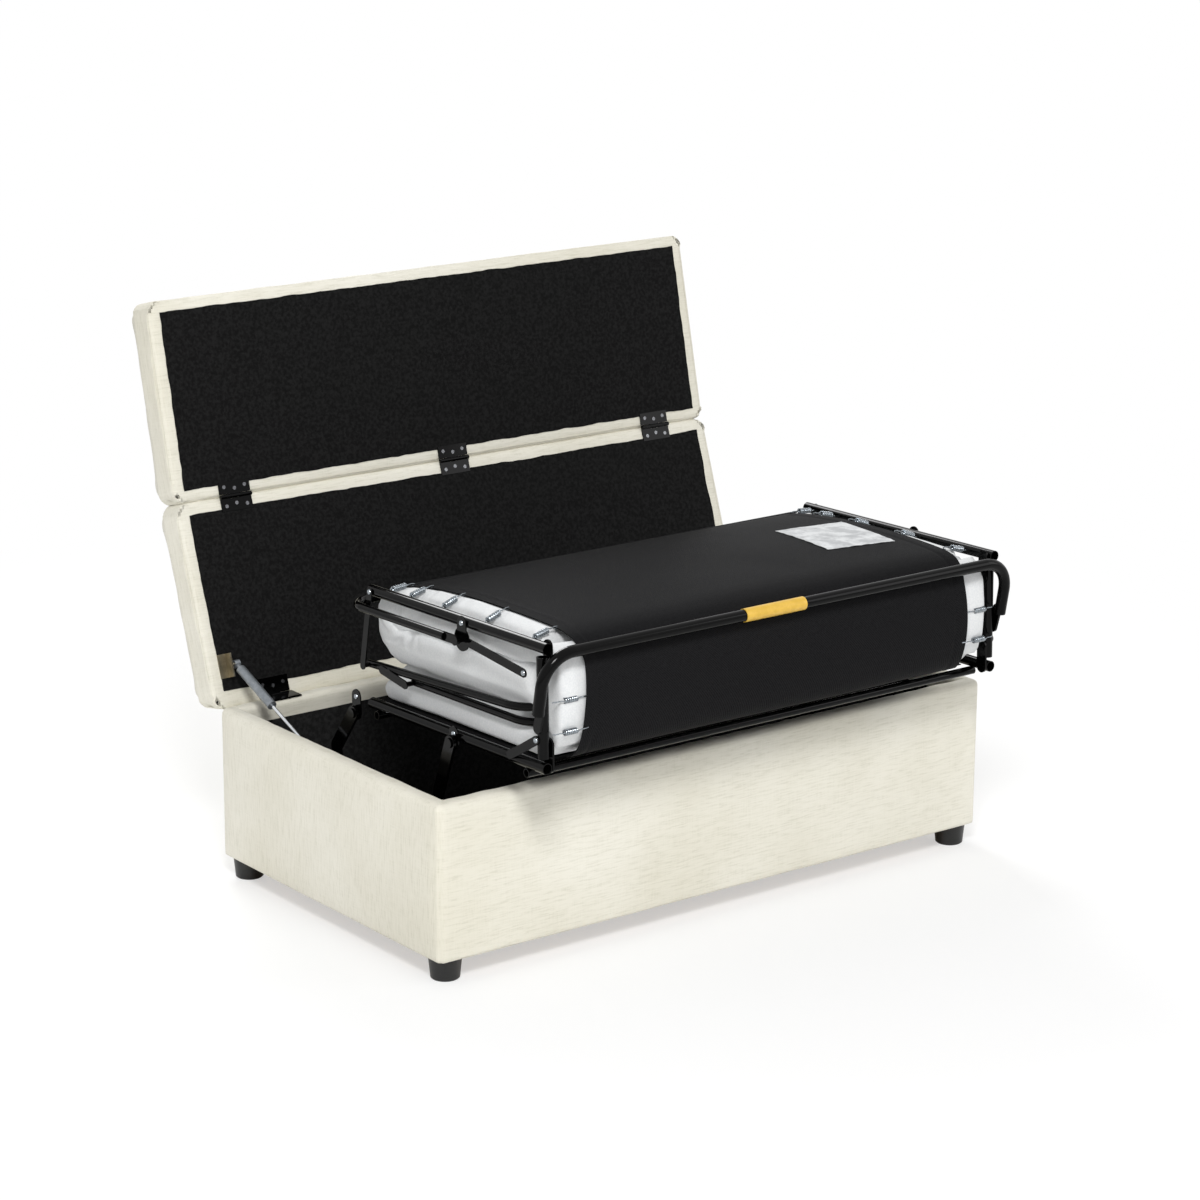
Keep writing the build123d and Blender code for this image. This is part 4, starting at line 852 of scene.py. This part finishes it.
# Stuffed by simulation, then its end shows the fold: two bulging layers with gathers round the bend.
def makeFoldedMattress():
    m = folded
    outline = [(-0.400, 0.4530), (0.004, 0.4530), (0.020, 0.4590), (0.031, 0.4740), (0.0345, 0.4970),
               (0.031, 0.5190), (0.020, 0.5350), (0.004, 0.5400), (-0.030, 0.5460), (-0.100, 0.5540),
               (-0.200, 0.5580), (-0.300, 0.5570), (-0.380, 0.5520), (-0.402, 0.5460), (-0.4055, 0.5300),
               (-0.4055, 0.4760), (-0.404, 0.4590)]
    piece = extrudeOutline(outline, m["half"])
    puff(piece, m["voxelMm"], m["pressure"], m["capMm"])
    applyModifier(piece, "SUBSURF", levels=1, render_levels=1)
    points = readPoints(piece)
    x, y, z = points[:, 0], points[:, 1], points[:, 2]
    side = numpy.clip((numpy.abs(x) - 0.405) / 0.015, 0, 1)
    foldY, foldZ = -0.012, 0.490
    seam = foldZ + 0.018 * numpy.clip((foldY - y) / 0.38, 0, 1) + 0.002 * numpy.sin(y * 40)
    # At the ends the two layers bulge apart on either side of the fold's line.
    double = numpy.clip((foldY - y) / 0.03, 0, 1)
    layer = numpy.where(z > seam, (z - seam) / (0.541 - seam), (seam - z) / (seam - 0.446))
    swell = numpy.sqrt(numpy.clip(1 - (2 * numpy.clip(layer, 0, 1) - 1) ** 2, 0, 1))
    swell = double * swell + (1 - double) * 0.8
    valley = numpy.exp(-((z - seam) / 0.006) ** 2) * double
    angle = numpy.arctan2(z - foldZ, y - foldY + 0.045)
    reach = numpy.hypot(z - foldZ, y - foldY + 0.045)
    rays = numpy.sin(angle * 13 + 2 * numpy.sin(reach * 60)) * numpy.exp(-((reach - 0.034) / 0.030) ** 2)
    rays *= numpy.clip(numpy.cos(angle) + 0.5, 0, 1)
    wave = ripple(points, 95, 2.2, 51)
    pushed = side * (m["bulge"] * swell - m["valley"] * valley + 0.0036 * rays + wave)
    points[:, 1] += side * 0.0030 * rays * (y > 0.005)
    points[:, 0] += numpy.sign(x) * pushed
    points[:, 0] = numpy.clip(points[:, 0], -0.4425, 0.4425)
    points[:, 1] = numpy.clip(points[:, 1], -0.4085, 0.0385)
    roof = topLine(points[:, 1]) - 0.0045
    beyond = numpy.clip((numpy.abs(points[:, 0]) - 0.392) / 0.045, 0, 1)
    roof = roof + 0.0030 * numpy.clip(beyond * 5, 0, 1) - (roof - 0.5400) * beyond ** 2
    roof += ripple(points, 70, 1.0, 52) * numpy.clip(beyond * 5, 0, 1)
    # Past the edge of the sling under it the mattress hangs down inside the frame's tubes.
    droop = m["droop"] * numpy.clip((numpy.abs(points[:, 0]) - 0.404) / 0.016, 0, 1)
    droop *= numpy.clip((0.025 - points[:, 1]) / 0.05, 0.3, 1)
    points[:, 2] -= droop * numpy.clip((0.490 - points[:, 2]) / 0.035, 0, 1)
    points[:, 2] = numpy.minimum(numpy.maximum(points[:, 2], 0.4512 - droop), roof)
    widest = numpy.interp(points[:, 2], [0.428, 0.450, 0.466], [0.4270, 0.4325, 0.4425])
    points[:, 0] = numpy.clip(points[:, 0], -widest, widest)
    writePoints(piece, points)
    swing(piece, bedLean)
    dress(piece, "foldedMattress", mattressCloth, "top_section", ["folded_mattress"], smooth=70)


makeFoldedMattress()


lower = {"half": 0.433, "voxelMm": 8.0, "pressure": 3.0, "capMm": 6, "loose": 0.034}


def makeLowerMattress():
    m = lower
    outline = [(-0.400, 0.3625), (0.018, 0.3625), (0.025, 0.372), (0.026, 0.386), (0.018, 0.3965),
               (-0.425, 0.3965), (-0.430, 0.389), (-0.418, 0.372)]
    piece = extrudeOutline(outline, m["half"])
    puff(piece, m["voxelMm"], m["pressure"], m["capMm"])
    points = readPoints(piece)
    side = numpy.clip((numpy.abs(points[:, 0]) - 0.415) / 0.015, 0, 1)
    points[:, 0] += numpy.sign(points[:, 0]) * side * ripple(points, 80, 2.0, 61)
    points[:, 0] = numpy.clip(points[:, 0], -0.4425, 0.4425)
    points[:, 1] = numpy.clip(points[:, 1], frontLine(points[:, 2]) + 0.0070, 0.0300)
    points[:, 2] = numpy.clip(points[:, 2], 0.3603, 0.4003)
    # Between the tubes above, the cover stands up loosely.
    free = numpy.clip((0.424 - numpy.abs(points[:, 0])) / 0.016, 0, 1)
    free = free * free * (3 - 2 * free)
    free *= numpy.clip((points[:, 1] + 0.395) / 0.05, 0, 1) * numpy.clip((0.020 - points[:, 1]) / 0.05, 0, 1)
    points[:, 2] += m["loose"] * free * numpy.clip((points[:, 2] - 0.372) / 0.024, 0, 1)
    writePoints(piece, points)
    applyModifier(piece, "SUBSURF", levels=1, render_levels=1)
    swing(piece, bedLean)
    dress(piece, "lowerMattress", mattressCloth, "lower_section", ["lower_mattress"], smooth=70)


makeLowerMattress()


front = {"half": 0.435, "voxelMm": 8.0, "pressure": 2.0, "capMm": 3}


# Nearly as thin as its cloth: it stands between the front uprights and the sling drawn over it.
def makeFrontMattress():
    m = front
    outline = [(-0.4240, 0.3720), (-0.4380, 0.3860), (-0.4490, 0.4110), (-0.4545, 0.4400), (-0.4560, 0.4700),
               (-0.4535, 0.5010), (-0.4465, 0.5250), (-0.4330, 0.5420), (-0.4210, 0.5470), (-0.4140, 0.5350),
               (-0.4130, 0.4250), (-0.4180, 0.4080), (-0.4280, 0.4020), (-0.4260, 0.3900)]
    piece = extrudeOutline(outline, m["half"])
    puff(piece, m["voxelMm"], m["pressure"], m["capMm"])
    points = readPoints(piece)
    covered = numpy.abs(points[:, 0]) < 0.398
    points[:, 1] = numpy.maximum(points[:, 1], frontLine(points[:, 2]) + numpy.where(covered, 0.0045, 0.0012))
    points[:, 0] = numpy.clip(points[:, 0], -0.4410, 0.4410)
    writePoints(piece, points)
    applyModifier(piece, "SUBSURF", levels=1, render_levels=1)
    swing(piece, bedLean)
    dress(piece, "frontMattress", mattressCloth, "front_section", ["front_mattress"], smooth=70)


makeFrontMattress()
print("mattresses made")

coil = {"wire": 0.00105, "radius": 0.0040, "pitch": 0.0020, "turns": 12, "railX": 0.4440}


# One zinc-plated spring along X from 0: a hook round the rail side, a close-wound coil, a hook in the hem.
def makeSpring(length):
    c = coil
    body = c["pitch"] * c["turns"]
    start = (length - body) * 0.55
    points = [(-0.004, 0, 0.002), (0.0, 0, 0.0045), (0.004, 0, 0.0042), (start * 0.6, 0, 0.0042)]
    for step in range(c["turns"] * 12 + 1):
        a = step / 12 * 2 * math.pi
        points.append((start + c["pitch"] * step / 12, c["radius"] * math.sin(a),
                       0.0045 + c["radius"] * math.cos(a)))
    end = start + body
    points += [(end + 0.003, 0, 0.0060), (length - 0.004, 0, 0.0045), (length + 0.004, 0, 0.0045),
               (length + 0.009, 0, 0.0030), (length + 0.0085, 0, 0.0), (length + 0.004, 0, 0.0006)]
    bpy.ops.object.select_all(action="DESELECT")
    bpy.ops.curve.primitive_bezier_curve_add()
    curve = bpy.context.object.data
    curve.splines.clear()
    spline = curve.splines.new("POLY")
    spline.points.add(len(points) - 1)
    for point, place in zip(spline.points, points):
        point.co = (*place, 1)
    curve.bevel_depth = c["wire"]
    curve.bevel_resolution = 1
    curve.use_fill_caps = True
    bpy.ops.object.convert(target="MESH")
    return bpy.context.object


topSpringY = [-0.438 + share * 0.453 for share in (0.095, 0.36, 0.614, 0.812, 0.934)]
frontSpringZ = [0.360 + share * 0.187 for share in (0.556, 0.289)]
topSpring = makeSpring(0.0445)
frontSpring = makeSpring(0.0530)
for sideName, sign, turn in (("left", -1, 0), ("right", 1, 180)):
    springs = []
    for y in topSpringY:
        rise = math.atan2(float(topLine(y)) - 0.5450, 0.048)
        springs.append(copyPiece(topSpring, Matrix.Translation((sign * coil["railX"], y, 0.5440))
                                 @ Matrix.Rotation(math.radians(turn), 4, "Z")
                                 @ Matrix.Rotation(-rise, 4, "Y")))
    piece = joinPieces(springs)
    swing(piece, bedLean)
    dress(piece, "topSprings_" + sideName, zincPlate, "top_section",
          ["top_springs_" + sideName])
    springs = []
    for z in frontSpringZ:
        springs.append(copyPiece(frontSpring, Matrix.Translation((sign * coil["railX"], -0.4520, z))
                                 @ Matrix.Rotation(math.radians(90), 4, "X")
                                 @ Matrix.Rotation(math.radians(turn), 4, "Z")))
    piece = joinPieces(springs)
    swing(piece, bedLean)
    dress(piece, "frontSprings_" + sideName, zincPlate, "front_section",
          ["front_springs_" + sideName])
bpy.data.objects.remove(topSpring)
bpy.data.objects.remove(frontSpring)
print("springs made")

screw = {"radius": 0.0032, "depth": 0.0016, "proud": 0.0006, "recess": 0.0012, "xs": (-0.020, 0.0, 0.020),
         "hingeXs": (-0.445, 0, 0.445), "leafFace": 0.2944}


# A countersunk screw seen from below, with its recess sunk in the middle.
def makeScrew():
    bpy.ops.object.select_all(action="DESELECT")
    bpy.ops.mesh.primitive_cylinder_add(vertices=20, radius=screw["radius"], depth=screw["depth"])
    piece = bpy.context.object
    for face in piece.data.polygons:
        face.select = face.normal.z < -0.9
    bpy.ops.object.mode_set(mode="EDIT")
    bpy.ops.mesh.select_mode(type="FACE")
    bpy.ops.mesh.inset(thickness=0.0006)
    bpy.ops.transform.translate(value=(0, 0, -0.00012))
    bpy.ops.mesh.inset(thickness=screw["radius"] - 0.0006 - screw["recess"])
    bpy.ops.mesh.inset(thickness=0.0002)
    bpy.ops.transform.translate(value=(0, 0, 0.0005))
    bpy.ops.object.mode_set(mode="OBJECT")
    return piece


# Three to a leaf, the middle one nearer the pin.
def makeHingeScrews(name, body, turns, pinY, out):
    level = screw["leafFace"] - screw["proud"] + screw["depth"] / 2
    pieces = []
    for hingeX in screw["hingeXs"]:
        for number, x in enumerate(screw["xs"]):
            zigzag = 0.0035 if number == 1 else 0
            place = Matrix.Translation((hingeX + x, pinY + out - math.copysign(zigzag, out), level))
            pieces.append(copyPiece(screwHead, place))
    piece = joinPieces(pieces)
    swing(piece, *turns)
    # The heads are painted grey as painted highlights.
    dress(piece, name, screwWithPaintedHighlight, body)


screwHead = makeScrew()
makeHingeScrews("rearFoldScrews", "rear_lid", [lidOpen], foldPin[0], 0.016)
makeHingeScrews("frontFoldScrews", "front_lid", [lidFold, lidOpen], foldPin[0], -0.016)
makeHingeScrews("rearBaseScrews", "rear_lid", [lidOpen], basePin[0], -0.021)
bpy.data.objects.remove(screwHead)
print("screws made")
